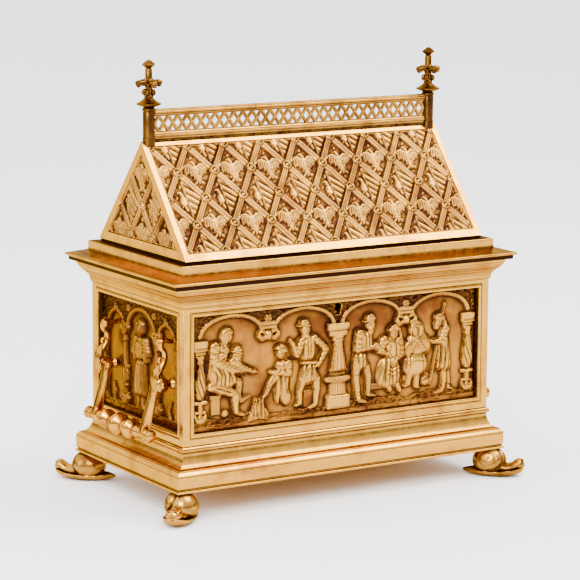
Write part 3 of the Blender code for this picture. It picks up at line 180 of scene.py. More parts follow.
def resampled(points, step=0.45 * MM):
    out = [points[0]]
    for a, b in zip(points, points[1:]):
        count = max(1, round(math.dist(a, b) / step))
        out += [(a[0] + (b[0] - a[0]) * k / count, a[1] + (b[1] - a[1]) * k / count)
                for k in range(1, count + 1)]
    return out


def hollowness(points, reach=0.9 * MM, full=0.35 * MM):
    """How far each point of an outline lies inside a hollow, 0 to 1; solid is on the left of the line."""
    p = np.array(points)
    d = np.linalg.norm(p[:, None] - p[None], axis=2)
    along = np.concatenate([[0], np.cumsum(np.linalg.norm(np.diff(p, axis=0), axis=1))])
    length = np.gradient(along)
    weight = np.exp(-(d / reach) ** 2) * length[None]
    mean = weight @ p / weight.sum(1, keepdims=True)
    tangent = np.gradient(p, axis=0)
    tangent /= np.linalg.norm(tangent, axis=1, keepdims=True) + 1e-12
    out = np.stack([tangent[:, 1], -tangent[:, 0]], 1)
    return np.clip(((mean - p) * out).sum(1) / full, 0, 1)


def ring_mesh(name, section, inner, shadow_bands=()):
    """A mitred ring round the body; section holds (proud of the body face, height), base to top.
    Undersides get painted shade, a warmer and darker tone; shadow_bands are bands of height (low, high,
    darkness) of painted shadow."""
    outline = resampled(rounded(section))
    cavity = hollowness(outline, full=0.20 * MM)
    line = np.array(outline)
    # Bands of painted shadow darken the cavity attribute in gaps and grooves.
    for low, high, dark in shadow_bands:
        cavity = np.where((line[:, 1] > low) & (line[:, 1] < high), np.maximum(cavity, dark), cavity)
    # Faces turned down get painted shade: a warmer, darker tone.
    ahead = np.gradient(line, axis=0)
    under = np.clip(ahead[:, 0] / (np.linalg.norm(ahead, axis=1) + 1e-12), 0, 1)
    outline += [(-inner, outline[-1][1]), (-inner, outline[0][1])]
    cavity, tone = np.append(cavity, [0, 0]), np.append(0.42 * under, [0, 0])
    count = len(outline)
    points = [(sx * (HALF_LENGTH + out), sy * (HALF_WIDTH + out), z)
              for sx, sy in ((-1, -1), (1, -1), (1, 1), (-1, 1)) for out, z in outline]
    faces = []
    for corner in range(4):
        here, there = corner * count, (corner + 1) % 4 * count
        faces += [(here + i, there + i, there + (i + 1) % count,
                   here + (i + 1) % count) for i in range(count)]
    return to_mesh(name, points, faces, np.tile(cavity, 4), np.tile(tone, 4))


def band_faces(start, rings, count):
    """Quads between rings of points that lie in order from start on."""
    return [(start + ring * count + i, start + ring * count + (i + 1) % count,
             start + (ring + 1) * count + (i + 1) % count, start + (ring + 1) * count + i)
            for ring in range(rings - 1) for i in range(count)]


def joined_lofts(name, lofts, cavity=None):
    """Closed skins, each through its own loops of points, in one mesh."""
    points, faces = [], []
    for loops in lofts:
        start, count = len(points), len(loops[0])
        points += [tuple(p) for loop in loops for p in loop]
        faces.append(tuple(range(start, start + count))[::-1])
        faces += band_faces(start, len(loops), count)
        faces.append(tuple(range(len(points) - count, len(points))))
    return to_mesh(name, points, faces, cavity)


def loft(name, loops, cavity=None):
    """One closed skin; cavity holds a value for each loop or for each point."""
    if cavity is not None and len(cavity) == len(loops):
        cavity = np.repeat(cavity, len(loops[0]))
    return joined_lofts(name, [loops], cavity)


def turned(name, profile, matrix, segments=40, round_by=0.2 * MM, flutes=0, depth=0.0):
    """A turned shape; profile holds (radius, distance along z) upward."""
    outline = resampled(rounded(profile, round_by), 0.4 * MM)
    cavity = hollowness(outline)
    loops = []
    for radius, along in outline:
        loop = []
        for i in range(segments):
            angle = 2 * math.pi * i / segments
            r = radius * (1 + depth * math.cos(flutes * angle))
            loop.append(matrix @ Vector((r * math.cos(angle), r * math.sin(angle), along)))
        loops.append(loop)
    return loft(name, loops, cavity)


def tube(name, path, widths, side, sides=16, heights=None):
    """A tapering rod through a smooth curve of points; side is the direction of its width."""
    path, widths = np.array(path, float), np.array(widths, float)
    heights = widths if heights is None else np.array(heights, float)
    t = np.linspace(0, len(path) - 1, 5 * (len(path) - 1) + 1)

    def curve(values):
        values = np.atleast_2d(values.T).T
        padded = np.vstack([2 * values[0] - values[1], values, 2 * values[-1] - values[-2]])
        k = np.minimum(t.astype(int), len(values) - 2)
        u = (t - k)[:, None]
        a, b, c, d = padded[k], padded[k + 1], padded[k + 2], padded[k + 3]
        return 0.5 * (2 * b + (c - a) * u + (2 * a - 5 * b + 4 * c - d) * u ** 2
                      + (3 * b - a - 3 * c + d) * u ** 3)

    line, wide, tall = curve(path), curve(widths)[:, 0], curve(heights)[:, 0]
    ahead = np.gradient(line, axis=0)
    side = Vector(side).normalized()
    loops = []
    for p, d, w, h in zip(line, ahead, wide, tall):
        other = Vector(d).normalized().cross(side).normalized()
        loops.append([Vector(p) + side * w * math.cos(a) + other * h * math.sin(a)
                      for a in (2 * math.pi * k / sides for k in range(sides))])
    return loft(name, loops)


# Materials

class Shader:
    """Short ways to build a node material."""

    def __init__(self, name):
        self.material = bpy.data.materials.new(name)
        self.material.use_nodes = True
        self.nodes, self.links = self.material.node_tree.nodes, self.material.node_tree.links
        self.bsdf = self.nodes["Principled BSDF"]
        self.place = self.nodes.new("ShaderNodeTexCoord").outputs["Object"]

    def feed(self, value, socket):
        if isinstance(value, bpy.types.NodeSocket):
            self.links.new(value, socket)
        else:
            socket.default_value = value

    def stretched(self, scale):
        node = self.nodes.new("ShaderNodeMapping")
        self.links.new(self.place, node.inputs["Vector"])
        node.inputs["Scale"].default_value = scale
        return node.outputs["Vector"]

    def noise(self, scale, detail=4.0, rough=0.55, place=None):
        node = self.nodes.new("ShaderNodeTexNoise")
        self.links.new(place or self.place, node.inputs["Vector"])
        node.inputs["Scale"].default_value = scale
        node.inputs["Detail"].default_value = detail
        node.inputs["Roughness"].default_value = rough
        return node.outputs["Fac"]

    def math(self, operation, a, b=0.0, clamp=False):
        node = self.nodes.new("ShaderNodeMath")
        node.operation, node.use_clamp = operation, clamp
        self.feed(a, node.inputs[0])
        self.feed(b, node.inputs[1])
        return node.outputs[0]

    def remap(self, value, low, high, to_low=0.0, to_high=1.0):
        node = self.nodes.new("ShaderNodeMapRange")
        self.feed(value, node.inputs["Value"])
        for label, number in (("From Min", low), ("From Max", high), ("To Min", to_low), ("To Max", to_high)):
            node.inputs[label].default_value = number
        return node.outputs["Result"]

    def mix(self, share, a, b):
        node = self.nodes.new("ShaderNodeMix")
        node.data_type = "RGBA"
        self.feed(share, node.inputs[0])
        for value, socket in ((a, node.inputs[6]), (b, node.inputs[7])):
            self.feed(value if isinstance(value, bpy.types.NodeSocket) else (*value, 1.0), socket)
        return node.outputs[2]

    def attribute(self, label):
        node = self.nodes.new("ShaderNodeAttribute")
        node.attribute_name = label
        return node.outputs["Fac"]

    def bump(self, height, distance, strength=1.0, normal=None):
        node = self.nodes.new("ShaderNodeBump")
        node.inputs["Strength"].default_value = strength
        node.inputs["Distance"].default_value = distance
        self.links.new(height, node.inputs["Height"])
        if normal:
            self.links.new(normal, node.inputs["Normal"])
        return node.outputs["Normal"]


GILT = (0.54, 0.262, 0.030)
HONEY = (0.34, 0.132, 0.015)
AMBER = (0.138, 0.040, 0.0075)
UMBER = (0.019, 0.0060, 0.0034)


def brass(name, bright=GILT, warm=HONEY, rough=0.22, brushed=0.0, age=0.35, pits=0.0):
    """Gilt brass: mottled colour and blotches, dark patina in hollows, brushed lines and pin dots, with
    painted shade carried by the tone and cavity attributes.
    """
    s = Shader(name)
    mottle = s.remap(s.noise(55, 5, 0.6), 0.62 - age * 0.3, 0.78 - age * 0.2)
    fine = s.remap(s.noise(420, 3, 0.6), 0.45, 0.75, 0.0, 0.35)
    tint = s.mix(s.math("MAXIMUM", mottle, fine), bright, warm)
    # The tone attribute holds each part's own colour and painted shade; up to 0.5 it warms towards amber,
    # above that it darkens towards umber.
    tone = s.attribute("tone")
    tint = s.mix(s.remap(tone, 0.0, 0.5), tint, s.mix(s.remap(s.noise(38, 4, 0.6), 0.42, 0.62), AMBER, warm))
    tint = s.mix(s.remap(tone, 0.5, 1.0), tint, UMBER)
    # The cavity attribute darkens towards umber: patina in hollows, and painted shadow in gaps, grooves and
    # other shaded places.
    hollow = s.attribute("cavity")
    loose = s.remap(s.noise(260, 4, 0.65), 0.25, 0.75, 0.55, 1.15)
    shade = s.math("MULTIPLY", hollow, loose, True)
    tint = s.mix(shade, tint, UMBER)
    cell = s.nodes.new("ShaderNodeTexVoronoi")
    s.links.new(s.place, cell.inputs["Vector"])
    cell.inputs["Scale"].default_value = 105
    dots = s.math("MULTIPLY", s.remap(cell.outputs["Distance"], 0.035, 0.022),
                  s.math("GREATER_THAN", s.noise(90, 1), 0.60))
    tint = s.mix(s.math("MULTIPLY", dots, 0.85), tint, UMBER)
    s.links.new(tint, s.bsdf.inputs["Base Color"])
    s.bsdf.inputs["Metallic"].default_value = 1.0
    s.bsdf.inputs["Specular Tint"].default_value = (0.95, 0.71, 0.42, 1.0)
    wear = s.remap(s.noise(170, 5, 0.7), 0.3, 0.7, rough * 0.75, rough * 1.35)
    lines = s.noise(1.0, 3, 0.7, s.stretched((22, 22, 2600)))
    if brushed:
        wear = s.math("ADD", wear, s.remap(lines, 0.35, 0.65, -0.05 * brushed, 0.07 * brushed))
    wear = s.math("ADD", wear, s.math("MULTIPLY", shade, 0.28))
    s.links.new(wear, s.bsdf.inputs["Roughness"])
    normal = s.bump(s.noise(900, 3, 0.6), 0.00002)
    if brushed:
        normal = s.bump(lines, 0.000012 * brushed, 1.0, normal)
    if pits:
        normal = s.bump(s.noise(620, 4, 0.6), 0.00012 * pits, 1.0, normal)
    s.links.new(normal, s.bsdf.inputs["Normal"])
    return s.material


def paper():
    """The pale ground."""
    s = Shader("pale_ground")
    s.links.new(s.mix(s.noise(6, 2), (0.93, 0.93, 0.93), (0.96, 0.96, 0.96)), s.bsdf.inputs["Base Color"])
    s.bsdf.inputs["Roughness"].default_value = 0.85
    return s.material


POLISHED = brass("polished_gilt", rough=0.20, brushed=1.0, age=0.42)
RELIEF = brass("relief_gilt", bright=(0.54, 0.265, 0.034), rough=0.25, age=0.36, pits=0.5)
# Painted shade: a darker copy of the relief gilt for the two end panels.
SHADED_SIDE_RELIEF = brass("shaded_side_relief_gilt", bright=(0.27, 0.120, 0.014), warm=(0.13, 0.046, 0.005), rough=0.25,
                    age=0.4, pits=0.5)
LATTICE = brass("lattice_gilt", bright=(0.62, 0.330, 0.062), warm=(0.40, 0.175, 0.026), rough=0.28, age=0.32)
TONED = brass("toned_gilt", bright=(0.20, 0.085, 0.015), warm=(0.050, 0.018, 0.004), rough=0.26, age=0.85)
CREST = brass("crest_gilt", bright=(0.48, 0.230, 0.030), warm=(0.17, 0.062, 0.007), rough=0.26, age=0.55)
FOOT = brass("foot_gilt", bright=(0.44, 0.215, 0.030), warm=(0.12, 0.046, 0.006), rough=0.20, age=0.65,
             pits=1.0)
HANDLE = brass("handle_gilt", bright=(0.50, 0.235, 0.026), warm=(0.26, 0.095, 0.009), rough=0.18, age=0.42)
HINGE = brass("hinge_gilt", bright=(0.36, 0.200, 0.045), rough=0.36, age=0.4)


# Mouldings

# Darkness of the painted shadow in the lid's gaps; above 1 it comes out fully umber.
GAP_SHADOW = 2.2


def build_plinth():
    base, top = PLINTH_LOW.z, PLINTH_HIGH.z
    proud = PLINTH_HIGH.x - HALF_LENGTH
    slab = base + 8.1 * MM
    section = outline_at(proud, base, (-0.6, 0), (-0.6, 0.5), (-0.1, 0.9))
    section += outline_at(proud, slab, (0, -0.9), (-0.22, -0.75), (0, -0.6), (0, 0), (-1.3, 1.5), (-1.4, 1.8),
                          (-2.0, 1.9))
    low, reach, rise = slab + 2.2 * MM, proud - 2.1 * MM, 8.3 * MM
    for i in range(9):
        angle = math.pi / 2 * i / 8
        section.append((reach * (1 - math.sin(angle)), low + rise * (1 - math.cos(angle))))
    torus = top - 2.8 * MM
    section += outline_at(0, torus, (0, -0.1), (0.5, 0), (1.1, 0.5), (1.3, 1.3), (1.1, 2.2), (0.6, 2.8))
    # Painted shadow lines: in the groove under the slab and under the base's step.
    shadow_bands = ((slab - 0.95 * MM, slab - 0.55 * MM, 0.8), (base + 0.4 * MM, base + 1.0 * MM, 0.8))
    piece("plinth_moulding", ring_mesh("plinth_moulding", section, WALL, shadow_bands), POLISHED, "polished_brass",
          "casket", "plinth", sharp=38)


def build_floor():
    edge = FLOOR_HIGH.x - HALF_LENGTH
    outline = outline_at(edge, FLOOR_LOW.z, (-0.7, 0), (0, 0.3)) + outline_at(edge, FLOOR_HIGH.z, (0, -0.3),
                                                                              (-0.5, 0))
    loops = []
    for out, z in rounded(outline):
        x, y = HALF_LENGTH + out, HALF_WIDTH + out
        loops.append([(-x, -y, z), (x, -y, z), (x, y, z), (-x, y, z)])
    piece("floor_sheet", loft("floor_sheet", loops), POLISHED, "polished_brass", "casket", "floor_plate",
          sharp=38)


def build_cornice():
    low, high = CORNICE_LOW.z, CORNICE_HIGH.z
    out = CORNICE_HIGH.x - HALF_LENGTH
    section = outline_at(0, low, (0.5, 0), (0.6, 0.6), (0.8, 0.8), (0.8, 2.2), (1.1, 3.1), (1.8, 4.3),
                         (2.6, 5.0),
                         (2.9, 5.8), (3.7, 6.0), (3.8, 6.5), (4.2, 6.6), (4.6, 7.3), (5.4, 8.1), (6.0, 9.2),
                         (6.1, 9.8))
    section += [(out, low + 10.0 * MM), (out, high)]
    # Painted shadow lines under the small steps of the moulding and under its top.
    shadow_bands = [(low + at * MM, low + (at + 0.35) * MM, 0.75) for at in (0.55, 5.85, 6.45)]
    shadow_bands += [(low + 9.7 * MM, low + 10.0 * MM, 0.4)]
    piece("cornice_moulding", ring_mesh("cornice_moulding", section, WALL, shadow_bands), POLISHED,
          "polished_brass",
          "casket", "cornice", sharp=38)


def build_lid_moulding():
    """The lid's flange and step; its painted shadow fills the dark gaps above the box and below the roof."""
    low, lip, inner = LID_LOW.z, 9.7 * MM, 5.9 * MM
    flange = LID_HIGH.x - HALF_LENGTH
    section = outline_at(lip, low, (-0.2, 0), (0, 0.3), (0, 2.3))
    section += outline_at(flange, low, (-0.3, 2.5), (0, 2.8), (-0.05, 3.7), (-0.5, 4.0), (-2.2, 4.4))
    section += outline_at(0, LID_TOP, (1.9, -5.0), (1.55, -4.8), (1.5, -0.4), (1.1, 0), (-3.9, 0))
    section += [(-3.9 * MM, LID_HIGH.z), (-inner, LID_HIGH.z)]
    # Painted shadow: both gaps fully dark, and two thin lines in the creases at the flange's top and the
    # step's foot.
    shadow_bands = ((low - 1 * MM, low + 2.35 * MM, GAP_SHADOW), (LID_TOP - 0.15 * MM, LID_HIGH.z + 1 * MM, GAP_SHADOW),
              (low + 3.95 * MM, low + 4.35 * MM, 0.6), (LID_TOP - 5.1 * MM, LID_TOP - 4.6 * MM, 0.85))
    piece("lid_moulding", ring_mesh("lid_moulding", section, inner, shadow_bands), POLISHED, "polished_brass",
          "lid", "lid_frame", sharp=38)


# Frames of reference: local x runs across a face, y up it and z out of it

def face_frame(origin, across, up):
    across, up = Vector(across).normalized(), Vector(up).normalized()
    return Matrix.Translation(Vector(origin)) @ Matrix((across, up, across.cross(up))).transposed().to_4x4()


def wall_faces(depth=0.0):
    x, y = HALF_LENGTH - depth, HALF_WIDTH - depth
    return {"front": face_frame((0, -y, WINDOW_BASE), (1, 0, 0), (0, 0, 1)),
            "back": face_frame((0, y, WINDOW_BASE), (-1, 0, 0), (0, 0, 1)),
            "left": face_frame((-x, 0, WINDOW_BASE), (0, -1, 0), (0, 0, 1)),
            "right": face_frame((x, 0, WINDOW_BASE), (0, 1, 0), (0, 0, 1))}


def build_body_frame():
    """Four faces, each with a half-round bead between two dark lines round its window."""
    edge = [(2.75, 0), (2.6, -0.28), (2.35, -0.38), (2.15, -0.25)]
    edge += [(1.15 + 1.0 * math.cos(a), -0.25 + 0.5 * math.sin(a)) for a in np.linspace(0.3, math.pi - 0.3,
                                                                                        9)]
    edge += [(0.15, -0.5), (0.0, -0.8)]
    drop = [(0.0, -1.2), (0.0, -2.4), (0.0, -4.3)]
    # shade holds painted shadow: dark lines beside the bead and down the reveal into the window.
    shade = [0, .7, 1, .6] + [0.3, 0.05, 0, 0, 0, 0, 0, .05, .3] + [1, 1] + [.8, .9, 1]
    points, faces, values = [], [], []
    for side, face in wall_faces().items():
        long_side = side in ("front", "back")
        half, reach = (FRONT_WINDOW, HALF_LENGTH) if long_side else (SIDE_WINDOW, HALF_WIDTH)
        low, high = BODY_BASE - WINDOW_BASE, BODY_TOP - WINDOW_BASE
        rings = [((-reach, low), (reach, low), (reach, high), (-reach, high), 0.0, 0.0)]
        for (away, out), dark in zip(edge + drop, shade):
            a = away * MM
            rings.append(((-half - a, -a), (half + a, -a), (half + a, WINDOW_HEIGHT + a),
                          (-half - a, WINDOW_HEIGHT + a), out * MM, dark))
        rings.append(((WALL - reach, low), (reach - WALL, low), (reach - WALL, high), (WALL - reach, high),
                      -WALL, 0.0))
        start = len(points)
        for *corners, out, dark in rings:
            points += [face @ Vector((x, y, out)) for x, y in corners]
            values += [dark] * 4
        last = start + 4 * (len(rings) - 1)
        for ring in range(len(rings) - 1):
            for i in range(4):
                a, b = start + 4 * ring + i, start + 4 * ring + (i + 1) % 4
                faces.append((a, b, b + 4, a + 4))
        faces += [(start, start + 1, last + 1, last), (start + 2, start + 3, last + 3, last + 2)]
    mesh = to_mesh("body_frame_face", points, faces, values)
    shell = bmesh.new()
    shell.from_mesh(mesh)
    bmesh.ops.remove_doubles(shell, verts=shell.verts, dist=1e-6)
    bmesh.ops.recalc_face_normals(shell, faces=shell.faces)
    shell.to_mesh(mesh)
    shell.free()
    item = piece("body_frame_face", mesh, POLISHED, "polished_brass", "casket", "body_frame", sharp=50)
    soften = item.modifiers.new("arrises", "BEVEL")
    soften.width, soften.segments, soften.angle_limit = 0.25 * MM, 2, math.radians(60)


# Relief: a height field over a window. Its unit is 1 mm: x runs from the middle of the
# window, y up from its lower edge and h out from the face of the plate.

NICHE = 0.5
CLOTH_EDGE = 3.6
FRONT_STEP, SIDE_STEP, BACK_STEP, ROOF_BACK_STEP = 0.37, 0.40, 0.56, 0.54


def dome(distance, power=0.5):
    return np.clip(1 - distance ** 2, 0, 1) ** power


def blurred(field, reach):
    """A box blur three times over, reach cells wide."""
    for _ in range(3):
        for axis in (0, 1):
            pad = [(0, 0), (0, 0)]
            pad[axis] = (reach + 1, reach)
            total = np.cumsum(np.pad(field, pad, mode="edge"), axis=axis)
            ahead = np.take(total, range(2 * reach + 1, total.shape[axis]), axis=axis)
            behind = np.take(total, range(0, total.shape[axis] - 2 * reach - 1), axis=axis)
            field = (ahead - behind) / (2 * reach + 1)
    return field


def lumps(x, y, seed, scale):
    """Smooth repeatable noise made of waves, about -1 to 1."""
    source = np.random.default_rng(seed)
    total = np.zeros(np.shape(x))
    for _ in range(9):
        angle, phase = source.uniform(0, 2 * math.pi), source.uniform(0, 2 * math.pi)
        grow = source.uniform(0.6, 1.7)
        total += np.sin((x * math.cos(angle) + y * math.sin(angle)) * grow / scale + phase)
    return total / 3.6


class Carving:
    def __init__(self, half_width, height, step):
        rows, columns = round(height / step) + 1, round(2 * half_width / step) + 1
        self.step, self.half_width, self.height = step, half_width, height
        self.y, self.x = np.meshgrid(np.linspace(0, height, rows),
                                     np.linspace(-half_width, half_width, columns),
                                     indexing="ij")
        self.grid_x = self.x
        self.h = np.full(self.x.shape, NICHE)
        self.tone = np.full(self.x.shape, 0.5)

    def draw_at(self, place, draw, *details):
        """Draws something whose own middle comes to a place along the panel."""
        whole = self.x
        self.x = whole - place
        draw(self, *details)
        self.x = whole

    def raise_to(self, inside, height, tone):
        """Lifts the ground to a height where that is higher, and colours it there."""
        above = inside & (height > self.h)
        self.h = np.where(above, height, self.h)
        self.tone = np.where(above, tone, self.tone)

    def ball(self, x, y, rx, ry, base, rise, turn=0.0, tone=0.0, power=0.5):
        c, s = math.cos(math.radians(turn)), math.sin(math.radians(turn))
        dx, dy = self.x - x, self.y - y
        distance = np.hypot((dx * c + dy * s) / rx, (dy * c - dx * s) / ry)
        self.raise_to(distance < 1, base + rise * dome(distance, power), tone)

    def span(self, points):
        """Distance from a line through points, and the share of the way along it."""
        lengths = [math.dist(a, b) for a, b in zip(points, points[1:])]
        best, share, done = np.full(self.x.shape, 1e9), np.zeros(self.x.shape), 0.0
        for a, b, length in zip(points, points[1:], lengths):
            dx, dy = b[0] - a[0], b[1] - a[1]
            t = np.clip(((self.x - a[0]) * dx + (self.y - a[1]) * dy) / (length * length + 1e-9), 0, 1)
            d = np.hypot(self.x - a[0] - t * dx, self.y - a[1] - t * dy)
            share = np.where(d < best, (done + t * length) / sum(lengths), share)
            best = np.minimum(best, d)
            done += length
        return best, share

    def limb(self, points, radii, base, rise, tone=0.0, power=0.5, rings=0.0, pleats=0.25):
        """A rounded form through joints; rings puts creases across it."""
        if len(points) == 2 and len(radii) == 2:
            marks = [0, 1]
        else:
            lengths = np.cumsum([0] + [math.dist(a, b) for a, b in zip(points, points[1:])])
            marks = lengths / lengths[-1]
        d, share = self.span(points)
        distance = d / np.interp(share, marks, radii)
        crease = 0.0
        if rings:
            crease = pleats * np.sin(rings * share * 2 * math.pi + 1.5 * distance) * dome(distance)
        self.raise_to(distance < 1, base + rise * dome(distance, power) + crease, tone)

    def cloth(self, outline, base, rise, folds=(), tone=0.0, depth=0.55, seed=1, hem=0.0):
        """A cloth area inside a closed outline; folds are lines along which it is ridged."""
        inside, away = self.polygon(outline)
        height = base - 0.3 + 1.4 * rise * np.sin(np.clip(away / CLOTH_EDGE, 0, 1) * math.pi / 2) ** 0.85
        for points, width in folds:
            d, share = self.span(points)
            ridge = np.exp(-(d / width) ** 2) - 0.85 * np.exp(-((d - 1.75 * width) / (0.8 * width)) ** 2)
            fade = np.clip(away / 0.8, 0, 1) * (0.45 + 0.55 * np.sin(math.pi * (0.12 + 0.76 * share)))
            height = height + depth * ridge * fade
        height = height + 0.13 * lumps(self.grid_x, self.y, seed, 1.5)
        if hem:
            height = height + hem * np.exp(-((away - 0.5) / 0.35) ** 2)
        self.raise_to(inside, height, tone)

    def polygon(self, outline):
        """Inside a closed outline rounded by a curve, and the distance from its edge."""
        p = np.array(outline, float)
        for _ in range(2):
            q = np.roll(p, -1, 0)
            p = np.stack([0.75 * p + 0.25 * q, 0.25 * p + 0.75 * q], 1).reshape(-1, 2)
        low, high = p.min(0) - 1.0, p.max(0) + 1.0
        near = (self.x > low[0]) & (self.x < high[0]) & (self.y > low[1]) & (self.y < high[1])
        px, py = self.x[near], self.y[near]
        inside, best = np.zeros(px.shape, bool), np.full(px.shape, 1e9)
        for a, b in zip(p, np.roll(p, -1, 0)):
            crossing = (b[0] - a[0]) * (py - a[1]) / (b[1] - a[1] + 1e-12) + a[0]
            cross = ((a[1] > py) != (b[1] > py)) & (px < crossing)
            inside ^= cross
            d = b - a
            t = np.clip(((px - a[0]) * d[0] + (py - a[1]) * d[1]) / (d @ d + 1e-9), 0, 1)
            best = np.minimum(best, np.hypot(px - a[0] - t * d[0], py - a[1] - t * d[1]))
        full_in, full_away = np.zeros(self.x.shape, bool), np.zeros(self.x.shape)
        full_in[near], full_away[near] = inside, best
        return full_in, full_away

    def line(self, points, width, rise):
        """A ridge, or a groove where rise is negative, on whatever is there."""
        self.h = self.h + rise * np.exp(-(self.span(points)[0] / width) ** 2)

    def block(self, x0, x1, y0, y1, height, tone=0.0, rise=0.0):
        away = np.minimum(np.minimum(self.x - x0, x1 - self.x), np.minimum(self.y - y0, y1 - self.y))
        across = (2 * self.x - x0 - x1) / (x1 - x0)
        lift = rise * (dome(across) - 1)
        self.raise_to(away > 0, height + lift - 0.25 * np.clip(1 - away / 0.35, 0, 1) ** 2, tone)

    def shaft(self, x, profile, base, rise, flutes=0, twist=0.0, depth=0.3, sharp=1.0):
        """An upright turned shape; profile holds (height, half width) upward."""
        heights, halves = zip(*profile)
        half = np.interp(self.y, heights, halves)
        across = (self.x - x) / half
        inside = (self.y >= heights[0]) & (self.y <= heights[-1]) & (np.abs(across) < 1)
        groove = 0.0
        if flutes:
            turn = np.arcsin(np.clip(across, -1, 1)) / math.pi * flutes + twist * self.y
            groove = depth * (np.abs(np.cos(math.pi * turn)) ** sharp * 2 - 1) * dome(across)
        self.raise_to(inside, base + rise * dome(across) + groove, 0.0)

    def finish(self):
        """Works out what lies in a hollow, and paints shade, a warmer and darker tone, onto the lower parts
        of each form and the slopes turned down and to the right.
        """
        wide = max(1, round(0.55 / self.step))
        broad = max(2, round(1.5 / self.step))
        fine = np.clip((blurred(self.h, wide) - self.h) / 0.30, 0, 1)
        deep = np.clip((blurred(self.h, broad) - self.h) / 0.62, 0, 1)
        self.cavity = np.clip(0.75 * fine + 0.95 * deep, 0, 1)
        # Painted shade: low parts of each form, and slopes turned down and to the right, take a warmer,
        # darker tone.
        low = np.clip(1.25 - (self.h - NICHE) / 2.2, 0, 1)
        painted_slope_shade = np.zeros(self.h.shape)
        for reach, gain in ((1, 0.75), (max(1, round(0.75 / self.step)), 1.9)):
            rise_y, rise_x = np.gradient(blurred(self.h, reach), self.step)
            painted_slope_shade = painted_slope_shade + gain * np.clip(rise_y - 0.55 * rise_x - 0.05, 0, 1)
        shade = np.clip(np.maximum(0.42 * low, 0.46 * painted_slope_shade), 0, 0.52)
        self.tone = np.where(self.tone < 0.3, np.maximum(self.tone, shade), self.tone)


def relief_block(name, carving, face, base, lap, root):
    """A closed block: the carving, a flat lap round it behind the frame, and a flat back."""
    x, y = carving.x[0] * MM, base + carving.y[:, 0] * MM
    x = np.concatenate([[x[0] - lap, x[0]], x, [x[-1], x[-1] + lap]])
    y = np.concatenate([[y[0] - lap, y[0]], y, [y[-1], y[-1] + lap]])
    h = np.pad(carving.h * MM, 2)
    # The lap is painted fully dark: painted shade where it shows in the gap behind the frame.
    cavity = np.pad(carving.cavity, 2, constant_values=1.0)
    tone = np.pad(carving.tone, 2, constant_values=1.0)
    grid_y, grid_x = np.meshgrid(y, x, indexing="ij")
    return sheet_block(name, grid_x, grid_y, h, face, root, cavity, tone)


def sheet_block(name, x, y, h, face, root, cavity, tone):
    """A closed block under a grid of points; its flat back lies root behind the plate's face."""
    rows, columns = x.shape
    turn = np.array(face.to_3x3())
    origin = np.array(face.translation)
    top = np.stack([x, y, h], -1).reshape(-1, 3) @ turn.T + origin
    index = np.arange(rows * columns).reshape(rows, columns)
    quads = np.stack([index[:-1, :-1], index[:-1, 1:], index[1:, 1:], index[1:, :-1]], -1).reshape(-1, 4)
    edge = np.concatenate([index[0, :-1], index[:-1, -1], index[-1, :0:-1], index[:0:-1, 0]])
    back = np.stack([x.ravel()[edge], y.ravel()[edge], np.full(len(edge), -root)], -1) @ turn.T + origin
    start = rows * columns
    around = np.arange(len(edge))
    ahead = np.roll(around, -1)
    skirt = np.stack([edge, start + around, start + ahead, edge[ahead]], -1)
    faces = np.concatenate([quads, skirt]).tolist() + [(start + around)[::-1].tolist()]
    values = [np.concatenate([v.ravel(), np.ones(len(edge))]) for v in (cavity, tone)]
    mesh = bpy.data.meshes.new(name)
    mesh.from_pydata(np.concatenate([top, back]).tolist(), [], faces)
    for label, value in zip(("cavity", "tone"), values):
        mesh.attributes.new(label, "FLOAT", "POINT").data.foreach_set("value", value.astype(np.float32))
    mesh.shade_smooth()
    return mesh


# People and columns in relief

def head(c, x, y, r=3.2, look=0.0, turn=0.0, base=1.6, rise=1.7, beard=0.0, hair=True):
    """A calm, plain head; look turns the face left (-1) or right (1), turn tilts it in degrees."""
    s, k = math.sin(math.radians(turn)), math.cos(math.radians(turn))

    def at(u, v):
        u += look * 0.34
        return (x + r * (u * k - v * s), y + r * (u * s + v * k))

    if hair:
        c.ball(x - look * 0.25 * r, y + 0.12 * r, 0.98 * r, 1.08 * r, base - 0.2, rise * 0.82, turn)
        for i in range(7):
            lock = at(-0.9 + 0.3 * i - look * 0.5, 0.75 - 0.10 * abs(i - 3))
            c.line([at(-0.3 * look, 1.05), lock], 0.28, 0.16 if i % 2 else -0.2)
    c.ball(x, y, 0.80 * r, r, base, rise, turn, power=0.42)
    c.line([at(-0.40, 0.34), at(-0.12, 0.30)], 0.26, 0.16)
    c.line([at(0.40, 0.34), at(0.12, 0.30)], 0.26, 0.16)
    c.line([at(-0.36, 0.12), at(-0.17, 0.10)], 0.30, -0.42)
    c.line([at(0.36, 0.12), at(0.17, 0.10)], 0.30, -0.42)
    c.line([at(0.0, 0.32), at(0.04 * look, -0.18)], 0.27, 0.42)
    c.line([at(-0.06, -0.22), at(0.08, -0.22)], 0.34, 0.34)
    c.line([at(-0.22, -0.47), at(0.22, -0.47)], 0.22, -0.36)
    c.line([at(-0.12, -0.60), at(0.12, -0.60)], 0.26, 0.16)
    c.line([at(-0.1, -0.84), at(0.1, -0.84)], 0.42, 0.22)
    if beard:
        c.limb([at(-0.42, -0.35), at(-0.05, -0.95 * beard - 0.35)], [0.9, 0.5], base + 0.2, rise * 0.75)
        c.limb([at(0.42, -0.35), at(0.05, -0.95 * beard - 0.35)], [0.9, 0.5], base + 0.2, rise * 0.75)
        c.ball(*at(0, -0.75 - 0.3 * beard), 0.6 * r, (0.45 + 0.3 * beard) * r, base + 0.1, rise * 0.86, turn)
        for i in range(5):
            u = -0.4 + 0.2 * i
            c.line([at(u, -0.6), at(u * 0.6, -1.05 - 0.55 * beard)], 0.2, -0.2)
        c.line([at(-0.2, -0.42), at(0.2, -0.42)], 0.2, -0.25)


